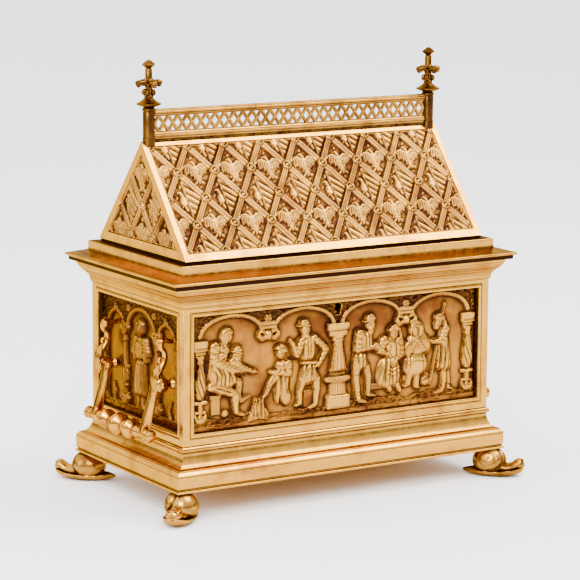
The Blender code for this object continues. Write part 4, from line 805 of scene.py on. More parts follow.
def hat(c, x, y, half, turn=0.0, crown=2.2, base=2.2, crown_half=None, far=0.80):
    """A brimmed hat, its brim's middle at x, y; far is the share of the brim on the right."""
    s, k = math.sin(math.radians(turn)), math.cos(math.radians(turn))
    half *= 0.86
    crown_half = crown_half or half * 0.72
    c.ball(x - s * crown * 0.5, y + k * crown * 0.55, crown_half, crown, base - 0.4, 1.7, turn, power=0.35)
    far *= half
    c.limb([(x - half * k, y - half * s - 0.45), (x - 0.5 * half, y - 0.5 * half * s + 0.15),
            (x + 0.5 * far, y + 0.5 * far * s + 0.15), (x + far * k, y + far * s - 0.35)],
           [0.55, 0.8, 0.8, 0.55], base, 1.3, power=0.4)
    c.line([(x - 0.7 * half * k, y - 0.7 * half * s + 0.85), (x + 0.7 * far * k, y + 0.7 * far * s + 0.85)],
           0.25, -0.45)


def hand(c, x, y, angle, size=1.5, base=2.0, rise=1.1):
    """A small mitten of a hand with a thumb and three finger lines."""
    a = math.radians(angle)
    c.limb([(x, y), (x + size * 1.5 * math.cos(a), y + size * 1.5 * math.sin(a))], [size * 0.72, size * 0.5],
           base, rise)
    b = a + 0.9
    c.limb([(x, y), (x + size * 1.1 * math.cos(b), y + size * 1.1 * math.sin(b))], [size * 0.4, size * 0.26],
           base, rise)
    for shift in (-0.25, 0.1):
        u, v = -math.sin(a) * shift * size, math.cos(a) * shift * size
        c.line([(x + u + 0.7 * size * math.cos(a), y + v + 0.7 * size * math.sin(a)),
                (x + u + 1.9 * size * math.cos(a), y + v + 1.9 * size * math.sin(a))], 0.16, -0.3)


def shoe(c, x, y, way, length=3.6, base=1.3):
    c.limb([(x, y + 0.5), (x + way * length, y - 0.4)], [1.5, 0.85], base, 1.2)
    c.line([(x - way * 1.0, y - 1.1), (x + way * length, y - 1.1)], 0.3, 0.3)


def leg(c, points, radii, base=1.2, rise=1.5, rings=0.0):
    c.limb(points, radii, base, rise, rings=rings, pleats=0.10)


def arm(c, points, radii=(2.3, 2.0, 1.35), base=1.9, rise=1.5, rings=6):
    c.limb(points, radii, base, rise, rings=rings, pleats=0.17)


def baluster_column(c):
    """The large middle column with its fluted bell, gadrooned collar, drum and plain block."""
    c.block(-7.4, 7.4, 3.2, 10.4, 3.3, rise=0.2)
    c.block(-6.6, 6.6, 10.4, 11.2, 2.6, rise=0.8)
    c.shaft(0, ((11.2, 5.9), (18.2, 5.7)), 0.9, 2.0, flutes=11, depth=0.35, sharp=0.5)
    c.shaft(0, ((17.8, 6.3), (18.6, 8.4), (19.8, 9.0), (20.9, 8.7), (21.2, 7.8)), 1.1, 2.3, flutes=17,
            twist=0.25, depth=0.45)
    c.shaft(0, ((21.2, 5.6), (24.6, 5.4)), 0.7, 1.5)
    c.shaft(0, ((24.5, 5.7), (30.0, 4.9), (36.0, 3.7), (41.2, 2.9)), 1.0, 2.2, flutes=6, depth=0.42,
            sharp=0.45)
    for i in range(7):
        c.ball(-5.1 + 1.7 * i, 25.0, 0.85, 0.95, 1.6 + 1.2 * (1 - abs(i - 3) / 3.6), 0.9)
    c.shaft(0, ((41.2, 3.4), (41.8, 4.0), (42.4, 4.0), (42.8, 3.4)), 1.2, 2.2)
    c.shaft(0, ((42.8, 3.6), (44.0, 5.2), (44.3, 5.2)), 1.2, 1.9)
    c.block(-5.9, 5.9, 44.3, 47.4, 3.2, rise=0.3)
    c.block(-6.7, 6.7, 47.4, 51.4, 3.5, rise=0.3)
    c.line([(-6.7, 47.5), (6.7, 47.5)], 0.25, -0.5)


def twisted_column(c):
    """A half column at the end of the arcade."""
    half = 3.6
    for side, turn in ((-1, 28), (1, -28), (0, 0)):
        c.ball(side * 2.3, 6.6, 1.5, 3.2, 1.3, 1.6, turn)
        c.line([(side * 1.2, 4.2), (side * 2.9, 9.2)], 0.3, -0.35)
    c.block(-half, half, 9.6, 10.9, 2.4, rise=0.5)
    c.shaft(0, ((10.9, 1.7), (14.6, 1.6)), 1.0, 1.4, flutes=5, depth=0.2)
    c.block(-half * 1.2, half * 1.2, 14.6, 16.6, 2.7, rise=0.6)
    c.shaft(0, ((17.2, 1.6), (20.5, 3.4), (24.5, 3.9), (30.0, 2.9), (37.0, 1.7)), 1.0, 2.0, flutes=4,
            twist=0.13, depth=0.55)
    c.shaft(0, ((37.0, 2.0), (37.6, 2.5), (38.4, 2.5), (39.0, 1.8)), 1.3, 1.6)
    c.shaft(0, ((39.0, 2.0), (41.4, 3.4)), 1.2, 1.7)
    c.block(-half * 0.95, half * 0.95, 41.6, 43.8, 2.7, rise=0.4)
    c.block(-half * 1.25, half * 1.25, 43.8, 49.2, 3.1, rise=0.4)
    c.line([(-half * 1.25, 45.6), (half * 1.25, 45.6)], 0.3, -0.4)


def corbel(c, y):
    """A small head between curling leaves where two arches meet."""
    for side in (-1, 1):
        c.limb([(side * 1.6, y - 1.2), (side * 4.2, y - 1.8), (side * 6.0, y - 0.2), (side * 6.2, y + 1.2)],
               [1.3, 1.7, 1.5, 1.1], 1.4, 1.6)
        c.line([(side * 2.0, y - 1.2), (side * 4.2, y - 1.7), (side * 5.8, y - 0.2)], 0.28, -0.4)
        c.limb([(side * 2.4, y + 1.8), (side * 5.0, y + 2.6)], [1.0, 1.3], 1.4, 1.5)
    c.block(-5.4, 5.4, y + 3.6, y + 7.6, 2.5, rise=0.3)
    c.line([(-5.4, y + 5.6), (5.4, y + 5.6)], 0.25, -0.4)
    head(c, 0, y, 2.7, 0.1, base=1.9, rise=2.0)


def rosette(c, x, y, r):
    for i in range(6):
        a = i * math.pi / 3
        c.ball(x + r * math.cos(a), y + r * math.sin(a), r * 0.62, r * 0.62, 1.5, 0.7, tone=0.25)
    c.ball(x, y, r * 0.5, r * 0.5, 1.6, 0.9, tone=0.2)


def arcade(c, arches, spring, wall=1.45):
    """Spandrels with a dark punched ground, and the bright bands of the arches."""
    opened = np.zeros(c.x.shape, bool)
    for x, half, low, crown, band in arches:
        opened |= (np.hypot((c.x - x) / half,
                            (c.y - low) / (crown - low)) < 1) | ((c.y < low) & (np.abs(c.x - x) < half))
    punched = wall + 0.30 * lumps(c.x, c.y, 5, 0.42) + 0.18 * lumps(c.x, c.y, 6, 0.9)
    c.raise_to((c.y > spring) & ~opened, punched, tone=0.9)
    for x, half, low, crown, band in arches:
        outer = np.hypot((c.x - x) / (half + band / 2), (c.y - low) / (crown - low + band / 2))
        inner = np.hypot((c.x - x) / (half - band / 2), (c.y - low) / (crown - low - band / 2))
        across = (outer - 1) / (outer - inner + 1e-9)
        inside = (outer < 1) & (inner > 1) & (c.y > low)
        c.raise_to(inside, 2.5 - 0.35 * np.clip((np.abs(across * 2 + 1)), 0, 1) ** 4, tone=0.05)


def niches(c, arches):
    """The smooth ground of each niche, dished a little, with painted shade darkening it towards its sides and
    its crown.
    """
    c.h = c.h + 0.10 * lumps(c.x, c.y, 11, 9.0)
    for x, half, *_ in arches:
        side = np.clip(np.abs(c.x - x) / half, 0, 1)
        # Painted shade towards each niche's sides and crown, over the niche's own tone.
        shade = 0.27 + 0.26 * side ** 2 + 0.36 * np.clip((c.y - 34) / 22, 0, 1) ** 1.3
        c.tone = np.where(np.abs(c.x - x) < half, shade, c.tone)


def ground(c, top, seed=3):
    """Broken ground, brown and rough, with a few stones."""
    line = top + 0.9 * np.sin(c.x * 0.21 + 1) + 0.6 * lumps(c.x, c.y * 0, seed, 2.0)
    height = 1.5 + 0.34 * lumps(c.x, c.y * 1.6, seed + 1, 0.8) + 0.28 * lumps(c.x, c.y * 2.2, seed + 2, 1.9)
    c.raise_to(c.y < line, height, tone=0.72)
    c.raise_to(c.y < 2.6 + 0.2 * np.sin(c.x * 0.3), 1.9 + 0.12 * lumps(c.x * 0.3, c.y, seed + 4, 0.5),
               tone=0.55)


def flames(c, x, low):
    source = np.random.default_rng(8)
    c.raise_to(np.hypot((c.x - x) / 6.2, (c.y - low - 2.5) / 7.0) < 1, 0.9, tone=0.85)
    for i in range(10):
        u = -5.6 + 11.2 * i / 9
        tip = low + 11.8 - 0.24 * u * u + source.uniform(-2.2, 1.6)
        lean = source.uniform(-0.8, 0.8)
        c.limb([(x + u, low), (x + u * 0.95 + lean, (low + tip) / 2), (x + u * 0.8 - lean, tip)],
               [0.7, 0.62, 0.2],
               1.2 + 0.6 * (i % 2), 1.1, tone=0.0)
    for side in (-1, 1):
        c.limb([(x - 5.5 * side, low - 1.5), (x + 5.0 * side, low + 0.6)], [0.9, 0.8], 1.8, 0.9, tone=0.3)


# The scenes

def hearth_scene(c):
    """Left arch: a veiled woman, an old man bent to the fire, and the fire."""
    c.cloth([(-15.5, 28), (-14.6, 42), (-12.3, 46), (-8, 48), (-2, 45), (-1, 36), (-8, 27)], 1.0, 1.2,
            folds=[([(-14.6, 29), (-13.2, 40)], 0.7), ([(-12.4, 28), (-11.0, 41)], 0.6)], seed=21)
    c.cloth([(-16.6, 25), (-14.2, 41), (-9, 41), (-10.5, 24)], 0.7, 0.9,
            folds=[([(-15.2, 26), (-13.0, 40)], 0.5), ([(-13.3, 25), (-11.6, 40)], 0.5)], tone=0.15, seed=22)
    arm(c, [(-10.6, 45.0), (-11.4, 38.6), (-4.5, 40.6)], (3.4, 2.9, 1.7), 1.5, 1.7, rings=4)
    arm(c, [(-6.2, 44.0), (-3.2, 42.6), (-4.6, 46.2)], (2.0, 1.7, 1.1), 1.7, 1.3, rings=3)
    hand(c, -4.4, 46.0, 100, 1.2)
    head(c, -2.0, 50.3, 3.3, 0.5, -12, base=1.5, hair=False, rise=1.8)
    for r, h in ((4.7, 2.5), (4.1, 2.9)):
        ring = np.hypot((c.x + 3.0) / (r * 0.92), (c.y - 50.9) / r)
        veil = (ring < 1) & ((c.x < -2.9) | (c.y > 52.3))
        c.raise_to(veil, h + 0.5 * dome(ring), tone=0.0)
    c.cloth([(-8.2, 43.5), (-6.6, 50), (-4.9, 51), (-5.4, 44.5)], 1.9, 1.0,
            folds=[([(-7, 44), (-5.8, 50)], 0.4)], seed=23)

    c.block(-12.6, -7.4, 8.0, 18.2, 1.9, tone=0.3)
    c.block(-13.2, -6.8, 17.0, 18.6, 2.3, tone=0.1)
    c.ball(-4.0, 8.0, 2.4, 2.2, 1.4, 1.3)
    c.ball(-4.0, 8.0, 1.3, 1.0, 2.2, 0.9)
    leg(c, [(-5, 27), (4.8, 24.8), (4.4, 15.2), (6.6, 13.8)], (3.0, 2.5, 1.6, 1.4), 0.8, 1.5, 5)
    c.limb([(5.6, 14.0), (11.0, 16.4)], (1.5, 0.8), 1.2, 1.2)
    c.cloth([(-15.0, 33), (-12, 38.5), (-6.5, 38), (1.0, 33), (4.6, 27), (3.6, 23.0), (-2, 21),
             (-9, 21.5), (-13.8, 24)], 1.4, 1.5,
            folds=[([(-12, 36), (-8, 30), (-9, 23)], 0.8), ([(-7, 37), (-3.2, 30), (-3.4, 23)], 0.8),
                   ([(-3.0, 35), (0.6, 29), (2.2, 24)], 0.7)], seed=24, depth=0.55)
    leg(c, [(-12.6, 23.6), (-6, 21.6), (2.0, 18.2), (2.6, 8.4)], (3.1, 3.2, 2.6, 1.6), 1.7, 1.7, 4)
    for shift in (0, 1.5, 3.0):
        c.line([(-11 + shift, 23.4 - 0.3 * shift), (-1 + shift, 19.6 - 0.3 * shift)], 0.35, -0.35)
    shoe(c, 3.0, 7.0, 1, 4.6, 1.7)
    arm(c, [(-8.6, 36.6), (-0.6, 32.4), (5.4, 31.0)], (3.0, 2.6, 1.9), 2.1, 1.5, rings=6)
    arm(c, [(0.6, 36.4), (6.4, 32.2), (13.0, 29.6)], (2.6, 2.2, 1.3), 1.9, 1.4, rings=6)
    hand(c, 13.4, 29.6, -10, 1.6, 2.0)
    hand(c, 6.2, 30.6, -25, 1.4, 2.4)
    head(c, 3.6, 38.8, 3.2, 0.6, -24, base=1.9, beard=1.1)
    hat(c, 3.0, 41.6, 4.6, -16, 2.3, 2.6)
    flames(c, 16.6, 4.2)


def workshop_scene(c):
    """Second arch: a kneeling youth at the fire and a standing man with a raised hand."""
    leg(c, [(-18.2, 25.4), (-21.6, 21.6), (-24.2, 16.4)], (2.5, 2.0, 1.4), 1.5, 1.3, 3)
    c.limb([(-23.6, 16.4), (-26.2, 14.6)], (1.5, 1.0), 1.6, 1.0)
    c.cloth([(-18.8, 27), (-9.0, 27.5), (-8.6, 20), (-10.4, 9.4), (-12.8, 8.6), (-15, 14), (-15.2, 8.8),
             (-18.0, 9.2), (-19, 18)], 1.2, 1.4,
            folds=[([(-16.6, 26), (-17, 11)], 0.8), ([(-13.4, 26), (-13.0, 14)], 0.7)], seed=31)
    c.ball(-11.6, 13.6, 3.3, 5.4, 1.6, 1.5, 12)
    c.cloth([(-17.4, 33.8), (-12, 34.6), (-8.6, 31), (-8.8, 26), (-12, 23.8), (-17.6, 25), (-18.4, 30)],
            1.5, 1.6, folds=[([(-15, 33), (-14, 26)], 0.6), ([(-11.6, 33), (-11, 26)], 0.6)], seed=32)
    arm(c, [(-10.4, 31.6), (-10.0, 26.6), (-20.0, 28.0)], (2.5, 2.3, 1.3), 2.2, 1.3, rings=5)
    hand(c, -20.2, 28.2, 178, 1.4, 2.0)
    head(c, -15.0, 37.8, 3.1, -0.5, 8, base=1.7)
    for r, h in ((4.5, 2.2), (3.9, 2.7), (3.1, 3.1)):
        band = np.hypot((c.x + 14.8) / r, (c.y - 38.9) / (r * 0.92))
        c.raise_to((band < 1) & (c.y > 39.4 - 0.35 * (c.x + 15)), h + 0.4 * dome(band), tone=0.0)
    c.line([(-18.6, 27.6), (-13, 29.2)], 0.3, -0.4)

    c.block(0.6, 6.8, 6.0, 15.2, 1.5, tone=0.55)
    leg(c, [(-0.6, 21), (-2.6, 15.6), (-2.4, 8.6)], (2.6, 1.9, 1.3), 1.4, 1.4)
    leg(c, [(8.0, 22), (8.6, 16), (7.6, 7.2)], (2.7, 2.2, 1.5), 1.6, 1.5)
    shoe(c, -2.4, 8.2, -1, 2.8, 1.4)
    shoe(c, 7.6, 6.2, -1, 4.2, 1.6)
    c.cloth([(-3.4, 20.8), (-0.8, 31.6), (7.4, 31.6), (9.6, 24), (8.8, 19.4), (3, 17.8), (-2, 18.6)],
            1.5, 1.6, folds=[([(0.4, 31), (-1.6, 20)], 0.7), ([(3.4, 31), (2.6, 19)], 0.7),
                             ([(6.2, 31), (6.8, 20)], 0.7)], seed=33, hem=0.3)
    c.ball(2.8, 23.6, 2.3, 2.8, 2.6, 0.9)
    c.line([(0.8, 24.8), (4.8, 24.8)], 0.25, -0.35)
    c.cloth([(-3.0, 42.6), (0.8, 46.4), (5.4, 46.6), (8.6, 43), (7.2, 31.2), (-0.8, 31.0), (-2.6, 36)],
            1.7, 1.7, folds=[([(0.6, 44), (0.4, 33)], 0.7), ([(5.0, 44), (4.4, 33)], 0.7)], seed=34)
    c.limb([(-1.2, 31.2), (7.6, 30.6)], (0.8, 0.8), 2.6, 0.9)
    arm(c, [(6.6, 44.4), (14.2, 37.6), (9.4, 29.2)], (2.3, 2.1, 1.5), 1.8, 1.6, rings=7)
    hand(c, 9.2, 29.4, 200, 1.4, 2.4)
    arm(c, [(-1.6, 43.6), (-4.4, 36.0), (-7.8, 42.8)], (2.3, 2.1, 1.3), 2.0, 1.5, rings=6)
    hand(c, -8.2, 43.4, 118, 1.4, 2.0)
    head(c, 0.8, 49.4, 3.3, -0.3, 4, base=1.9, beard=0.35)
    hat(c, -0.2, 52.4, 4.6, -2, 2.3, 2.6)
    c.cloth([(-0.6, 46.6), (2.6, 47.2), (4.6, 45.6), (2.0, 44.0), (-0.8, 44.8)], 2.7, 0.9, seed=35)


def inn_scene(c):
    """Third arch: a standing man with a bundle, and a seated woman with a child."""
    c.block(-1.4, 19, 11.0, 14.2, 1.5, tone=0.45)
    leg(c, [(-3.4, 25), (-1.6, 19), (-2.0, 9.0)], (2.7, 2.0, 1.4), 1.0, 1.3)
    shoe(c, -1.6, 8.2, 1, 4.0, 1.2)
    leg(c, [(-10.0, 27), (-10.4, 18), (-8.8, 6.8)], (2.8, 2.1, 1.6), 1.7, 1.7)
    shoe(c, -8.4, 5.4, 1, 4.4, 1.7)
    for y in (9.5, 11.2, 21.0):
        c.line([(-12.2, y), (-7.4, y + 0.3)], 0.3, -0.25)
    c.cloth([(-12.8, 25), (-12.2, 33.8), (-3.6, 33.6), (-2.8, 26), (-5.2, 22.4), (-10, 21.6)], 1.6, 1.6,
            folds=[([(-10.8, 33), (-11, 24)], 0.7), ([(-7.6, 33), (-8, 23)], 0.7),
                   ([(-4.8, 32), (-5.4, 24)], 0.7)], seed=41, hem=0.3)
    c.cloth([(-11.6, 34), (-11.0, 43), (-8.0, 46.4), (-1.4, 45.2), (1.4, 41), (-0.4, 34), (-4, 32.6)],
            1.5, 1.6, folds=[([(-3.4, 44), (-3.6, 35)], 0.6), ([(-0.6, 43), (-1.2, 36)], 0.5)], seed=42)
    arm(c, [(-8.4, 44.0), (-9.4, 35.4), (-0.4, 35.4)], (2.7, 2.5, 1.6), 2.2, 1.7, rings=6)
    c.ball(2.6, 35.4, 3.1, 2.6, 2.0, 1.5, -14)
    c.line([(0.6, 36.6), (4.6, 34.4)], 0.3, -0.4)
    c.line([(2.0, 33.4), (3.4, 37.4)], 0.3, -0.35)
    hand(c, -0.4, 35.6, -10, 1.4, 2.5)
    head(c, -0.6, 48.0, 3.2, 0.4, -10, base=1.9, beard=1.0)
    hat(c, -1.4, 50.6, 5.2, -6, 2.8, 2.6, 3.2, far=0.30)

    c.cloth([(4.6, 26), (9, 30), (17.4, 30.6), (20.0, 24), (19.0, 12.6), (12, 9.8), (5, 11.4),
             (2.8, 18)], 1.2, 1.5,
            folds=[([(8.2, 28), (5.2, 13)], 0.9), ([(11.4, 27), (9.8, 11)], 0.8),
                   ([(15.2, 22), (15.4, 11)], 0.8), ([(17.8, 24), (18.0, 13)], 0.6)],
            seed=43, depth=0.55, hem=0.3)
    for y in (24.0, 21.6, 19.4):
        c.line([(10.6, y + 1.4), (13.8, y - 0.6), (18.2, y + 1.2)], 0.4, 0.40)
        c.line([(10.6, y + 0.4), (13.8, y - 1.6), (18.2, y + 0.2)], 0.35, -0.35)
    c.cloth([(9.6, 40), (13, 41.4), (19.0, 39), (21.4, 32), (18.6, 26.6), (11.6, 27), (8.4, 33)],
            1.5, 1.5, folds=[([(16.8, 39), (17.4, 29)], 0.8)], seed=44)
    c.ball(8.6, 37.8, 3.7, 3.6, 1.3, 1.7, 20)
    arm(c, [(8.4, 38.0), (5.6, 32.8), (9.8, 30.8)], (2.7, 2.2, 1.4), 1.7, 1.5, rings=5)
    arm(c, [(18.6, 37.4), (19.8, 29.6), (14.6, 26.6)], (2.7, 2.4, 1.5), 1.8, 1.6, rings=5)
    c.ball(11.0, 34.2, 1.7, 1.8, 2.6, 1.2)
    c.cloth([(8.8, 32.8), (12.6, 33.0), (15.0, 29), (13.4, 26.4), (9.6, 28)], 2.2, 1.2,
            folds=[([(10.4, 32), (12.4, 28)], 0.5)], seed=45)
    c.ball(14.2, 26.6, 2.9, 2.1, 2.1, 1.4, 24)
    c.ball(13.6, 27.0, 1.2, 0.8, 2.7, 1.0, 24)
    head(c, 14.6, 42.0, 3.2, -0.4, 10, base=1.8, hair=False)
    for u, v, turn in ((-1.6, 2.6, 24), (1.8, 2.5, -22), (0.1, 3.6, 4)):
        c.ball(14.8 + u, 42.2 + v, 3.0, 1.5, 2.3, 1.4, turn)
    c.limb([(18.4, 43.4), (19.4, 40.0)], (1.2, 0.7), 2.0, 1.0)
    c.limb([(11.4, 12.0), (12.4, 9.6)], (1.7, 1.5), 1.8, 1.3)
    c.limb([(18.0, 11.6), (19.2, 8.8)], (1.6, 1.3), 1.6, 1.1)


def praying_person(c):
    """Fourth arch: a seated hooded figure at prayer."""
    c.block(-7.6, 9.8, 14.0, 17.0, 1.4, tone=0.45)
    leg(c, [(-3.4, 18), (-4.4, 12.4)], (2.2, 1.6), 1.4, 1.3)
    shoe(c, -4.2, 11.4, -1, 2.8, 1.4)
    leg(c, [(1.6, 18), (1.2, 11.0)], (2.2, 1.7), 1.6, 1.3)
    shoe(c, 1.2, 9.4, 1, 2.0, 1.6)
    c.ball(7.4, 12.4, 2.8, 3.0, 1.2, 1.2)
    c.cloth([(-7.8, 19), (-7.4, 26), (-3.4, 30.6), (4, 30.2), (8.8, 26), (9.0, 19), (4, 14.8),
             (-3, 14.6)], 1.5, 1.6,
            folds=[([(-4.4, 29), (-5.8, 18)], 0.7), ([(5.8, 28), (6.8, 18)], 0.7)], seed=51, hem=0.35)
    for y in (27.2, 25.0):
        c.line([(-6.0, y - 0.4), (0.6, y + 0.6), (7.6, y - 0.8)], 0.4, -0.30)
    c.cloth([(-4.8, 39), (-1, 41), (4.6, 40), (9.4, 36), (9.8, 28), (5, 27), (-4, 27),
             (-7.4, 31)], 1.4, 1.4, seed=52)
    c.ball(6.2, 34.2, 3.9, 6.4, 1.9, 1.5, 20)
    c.ball(-4.2, 32.4, 3.3, 5.2, 1.9, 1.4, -18)
    for side, mid in ((1, 6.2), (-1, -4.2)):
        for k in (-1.4, 0.2, 1.6):
            c.line([(mid + k, 38.0), (mid + k + side * 0.8, 30.0)], 0.35, -0.30)
    arm(c, [(5.4, 31), (1.2, 36.6)], (1.9, 1.1), 2.3, 1.3, rings=3)
    arm(c, [(-3.4, 31), (0.0, 36.6)], (1.8, 1.1), 2.3, 1.3, rings=3)
    hand(c, 0.4, 36.6, 92, 1.5, 2.6)
    head(c, -0.3, 42.0, 2.9, -0.15, 6, base=1.9, hair=False)
    ring = np.hypot((c.x - 0.6) / 4.7, (c.y - 43.0) / 4.9)
    face = np.hypot((c.x + 0.4) / 2.5, (c.y - 41.4) / 3.2)
    c.raise_to((ring < 1) & (face > 1), 2.4 + 1.4 * dome(ring), tone=0.0)
    c.cloth([(3.0, 45), (5.8, 43), (6.6, 39.5), (3.4, 39)], 2.2, 1.0, seed=53)


def pilgrim(c):
    """Fourth arch: a standing person in a long coat, with a staff."""
    c.limb([(2.0, 55.8), (-7.6, 10.2)], (0.72, 0.72), 1.2, 0.9)
    c.ball(2.0, 55.6, 1.2, 1.4, 1.4, 1.1)
    leg(c, [(1.6, 17.4), (1.9, 12), (0.8, 7.0)], (2.0, 1.8, 1.4), 1.6, 1.5)
    shoe(c, 0.4, 5.4, -1, 4.6, 1.6)
    leg(c, [(4.8, 17), (5.6, 10)], (1.7, 1.3), 0.9, 1.1)
    shoe(c, 5.6, 6.6, 1, 2.2, 1.0)
    c.cloth([(-4.8, 16.6), (-3.0, 30), (-1.0, 40.6), (2.6, 42.4), (4.4, 38), (5.4, 28), (6.8, 16.4)],
            1.6, 1.9,
            folds=[([(-1.4, 37), (-3.6, 17.5)], 0.75), ([(0.6, 38), (-0.6, 17.5)], 0.8),
                   ([(2.4, 38), (2.4, 17.5)], 0.8), ([(3.8, 36), (5.2, 17.5)], 0.75)],
            seed=54, depth=0.75, hem=0.3)
    c.line([(-4.6, 17.6), (6.4, 17.2)], 0.3, -0.3)
    arm(c, [(2.4, 41.0), (-0.2, 34.6), (-6.0, 34.6)], (2.7, 2.3, 1.4), 2.3, 1.5, rings=6)
    hand(c, -6.2, 34.8, 160, 1.4, 2.3)
    head(c, -2.6, 45.6, 2.9, -0.9, -4, base=1.8, beard=0.7)
    c.ball(-1.8, 48.4, 3.7, 2.4, 2.2, 1.6, -10)
    for i in range(4):
        c.line([(-4.8 + 1.5 * i, 47.0), (-3.8 + 1.5 * i, 50.2)], 0.28, -0.3)
    c.cloth([(-0.4, 49.5), (2.6, 47.5), (4.6, 41.4), (1.0, 42.0), (-0.6, 45)], 2.3, 1.2,
            folds=[([(0.6, 48), (2.6, 43)], 0.5)], seed=55)


# The long arcade: the middles of its arches, and their sizes
ARCHES = (-68.2, -22.3, 22.3, 68.2)
ARCH_HALF, ARCH_SPRING, ARCH_CROWN, ARCH_BAND = 19.6, 50.6, 61.7, 2.3
CORBEL_X = 45.2


def long_side(step, scenes):
    """The arcade of four arches; scenes holds (place, drawing, its details) in order."""
    c = Carving((FRONT_WINDOW - GAP) / MM, (WINDOW_HEIGHT - 2 * GAP) / MM, step)
    arches = [(x, ARCH_HALF, ARCH_SPRING, ARCH_CROWN, ARCH_BAND) for x in ARCHES]
    niches(c, arches)
    arcade(c, arches, ARCH_SPRING)
    for side in (-1, 1):
        rosette(c, side * CORBEL_X, 58.2, 1.5)
    ground(c, 5.4)
    for place, draw, *details in scenes:
        c.draw_at(place, draw, *details)
    for side in (-1, 1):
        c.draw_at(side * (c.half_width - 5.0), twisted_column)
        c.draw_at(side * CORBEL_X, corbel, 48.9)
    baluster_column(c)
    c.finish()
    return c


def front_scenes():
    return ((ARCHES[0], hearth_scene), (ARCHES[1], workshop_scene), (ARCHES[2], inn_scene),
            (ARCHES[3] - 16.6, praying_person), (ARCHES[3] + 1.6, pilgrim))


def robed_person(c, way, cover, seed):
    """A standing person in a long gown, hands folded, leaning a little one way."""
    def to(*points):
        return [(way * u, v) for u, v in points]

    shoe(c, way * 2.4, 5.6, way, 2.6, 1.4)
    shoe(c, -way * 2.2, 5.6, -way, 2.2, 1.3)
    c.cloth(to((-5.6, 6.8), (-4.4, 20), (-4.4, 33), (4.2, 33.4), (5.6, 22), (8.2, 7.0), (2, 5.9)), 1.4, 1.9,
            folds=[(to((-2.9, 31), (-4.2, 8)), 0.8), (to((-0.8, 31), (-1.0, 8)), 0.8),
                   (to((1.6, 31), (2.6, 8)), 0.8),
                   (to((3.4, 30), (6.0, 8)), 0.7)], seed=seed, depth=0.7, hem=0.3)
    c.cloth(to((-4.6, 32), (-4.8, 41), (-2.0, 45.5), (3.4, 45), (5.4, 40), (4.6, 32)), 1.7, 1.6,
            seed=seed + 1)
    c.limb(to((-4.5, 32.6), (4.5, 32.6)), (0.7, 0.7), 2.7, 0.9)
    arm(c, to((4.2, 43.4), (6.6, 36.4), (1.2, 34.6)), (2.4, 2.5, 1.4), 2.0, 1.6, rings=6)
    arm(c, to((-4.0, 43.4), (-6.2, 36.6), (-0.4, 35.0)), (2.4, 2.5, 1.4), 1.9, 1.6, rings=6)
    hand(c, way * 0.3, 34.9, 90 - way * 20, 1.5, 2.6)
    bare = cover != "hood"
    head(c, way * 0.5, 49.4, 3.2, way * 0.3, -way * 5, base=1.9, hair=bare,
         beard=0.8 if cover == "brim" else 0.0)
    if cover == "hood":
        ring = np.hypot(c.x / 4.3, (c.y - 49.9) / 5.0)
        face = np.hypot((c.x - way * 0.7) / 2.5, (c.y - 49.1) / 3.3)
        c.raise_to((ring < 1) & (face > 1), 2.4 + 1.4 * dome(ring), tone=0.0)
    elif cover == "brim":
        hat(c, 0, 52.3, 4.6, way * 4)
    else:
        c.ball(0, 52.0, 3.4, 2.0, 2.3, 1.5)
        c.limb([(-3.3, 51.2), (3.3, 51.2)], (0.6, 0.6), 2.8, 1.0)


def back_scenes():
    people = ((1, "hood", 61), (-1, "cap", 64), (1, "brim", 67), (-1, "hood", 70))
    return [(place, robed_person, *person) for place, person in zip(ARCHES, people)]


def slim_column(c):
    for side in (-1, 1):
        c.limb([(0, 4.6), (side * 2.4, 5.4), (side * 3.8, 7.6), (side * 2.6, 9.2)], (1.3, 1.3, 1.0, 0.7), 1.2,
               1.5)
        c.ball(side * 2.9, 8.2, 1.2, 1.2, 1.8, 1.0)
    c.shaft(0, ((4.2, 1.9), (9.2, 1.3)), 1.2, 1.5)
    c.block(-3.7, 3.7, 9.8, 10.8, 2.3, rise=0.6)
    c.shaft(0, ((10.8, 1.5), (13.6, 1.3), (14.0, 2.4), (15.0, 2.6), (15.4, 1.7), (18.0, 3.0), (21.6, 3.3),
                (24.4, 2.2)), 1.2, 1.8,
            flutes=5, depth=0.3)
    c.block(-3.7, 3.7, 24.6, 26.6, 2.6, rise=0.8)
    c.shaft(0, ((26.6, 1.7), (33.0, 1.3), (39.4, 1.2)), 1.2, 1.5)
    c.ball(0, 40.3, 2.2, 1.2, 1.6, 1.6)
    c.shaft(0, ((41.2, 1.4), (43.6, 1.8)), 1.2, 1.5)
    for side in (-1, 1):
        c.limb([(side * 0.6, 43.8), (side * 2.2, 45.6), (side * 3.9, 47.6)], (1.0, 1.2, 0.9), 1.8, 1.3)
        c.ball(side * 3.6, 47.4, 1.1, 1.1, 2.2, 1.1)
    c.ball(0, 46.4, 1.5, 2.6, 2.0, 1.3)
    c.block(-4.4, 4.4, 48.4, 50.2, 2.9, rise=0.4)


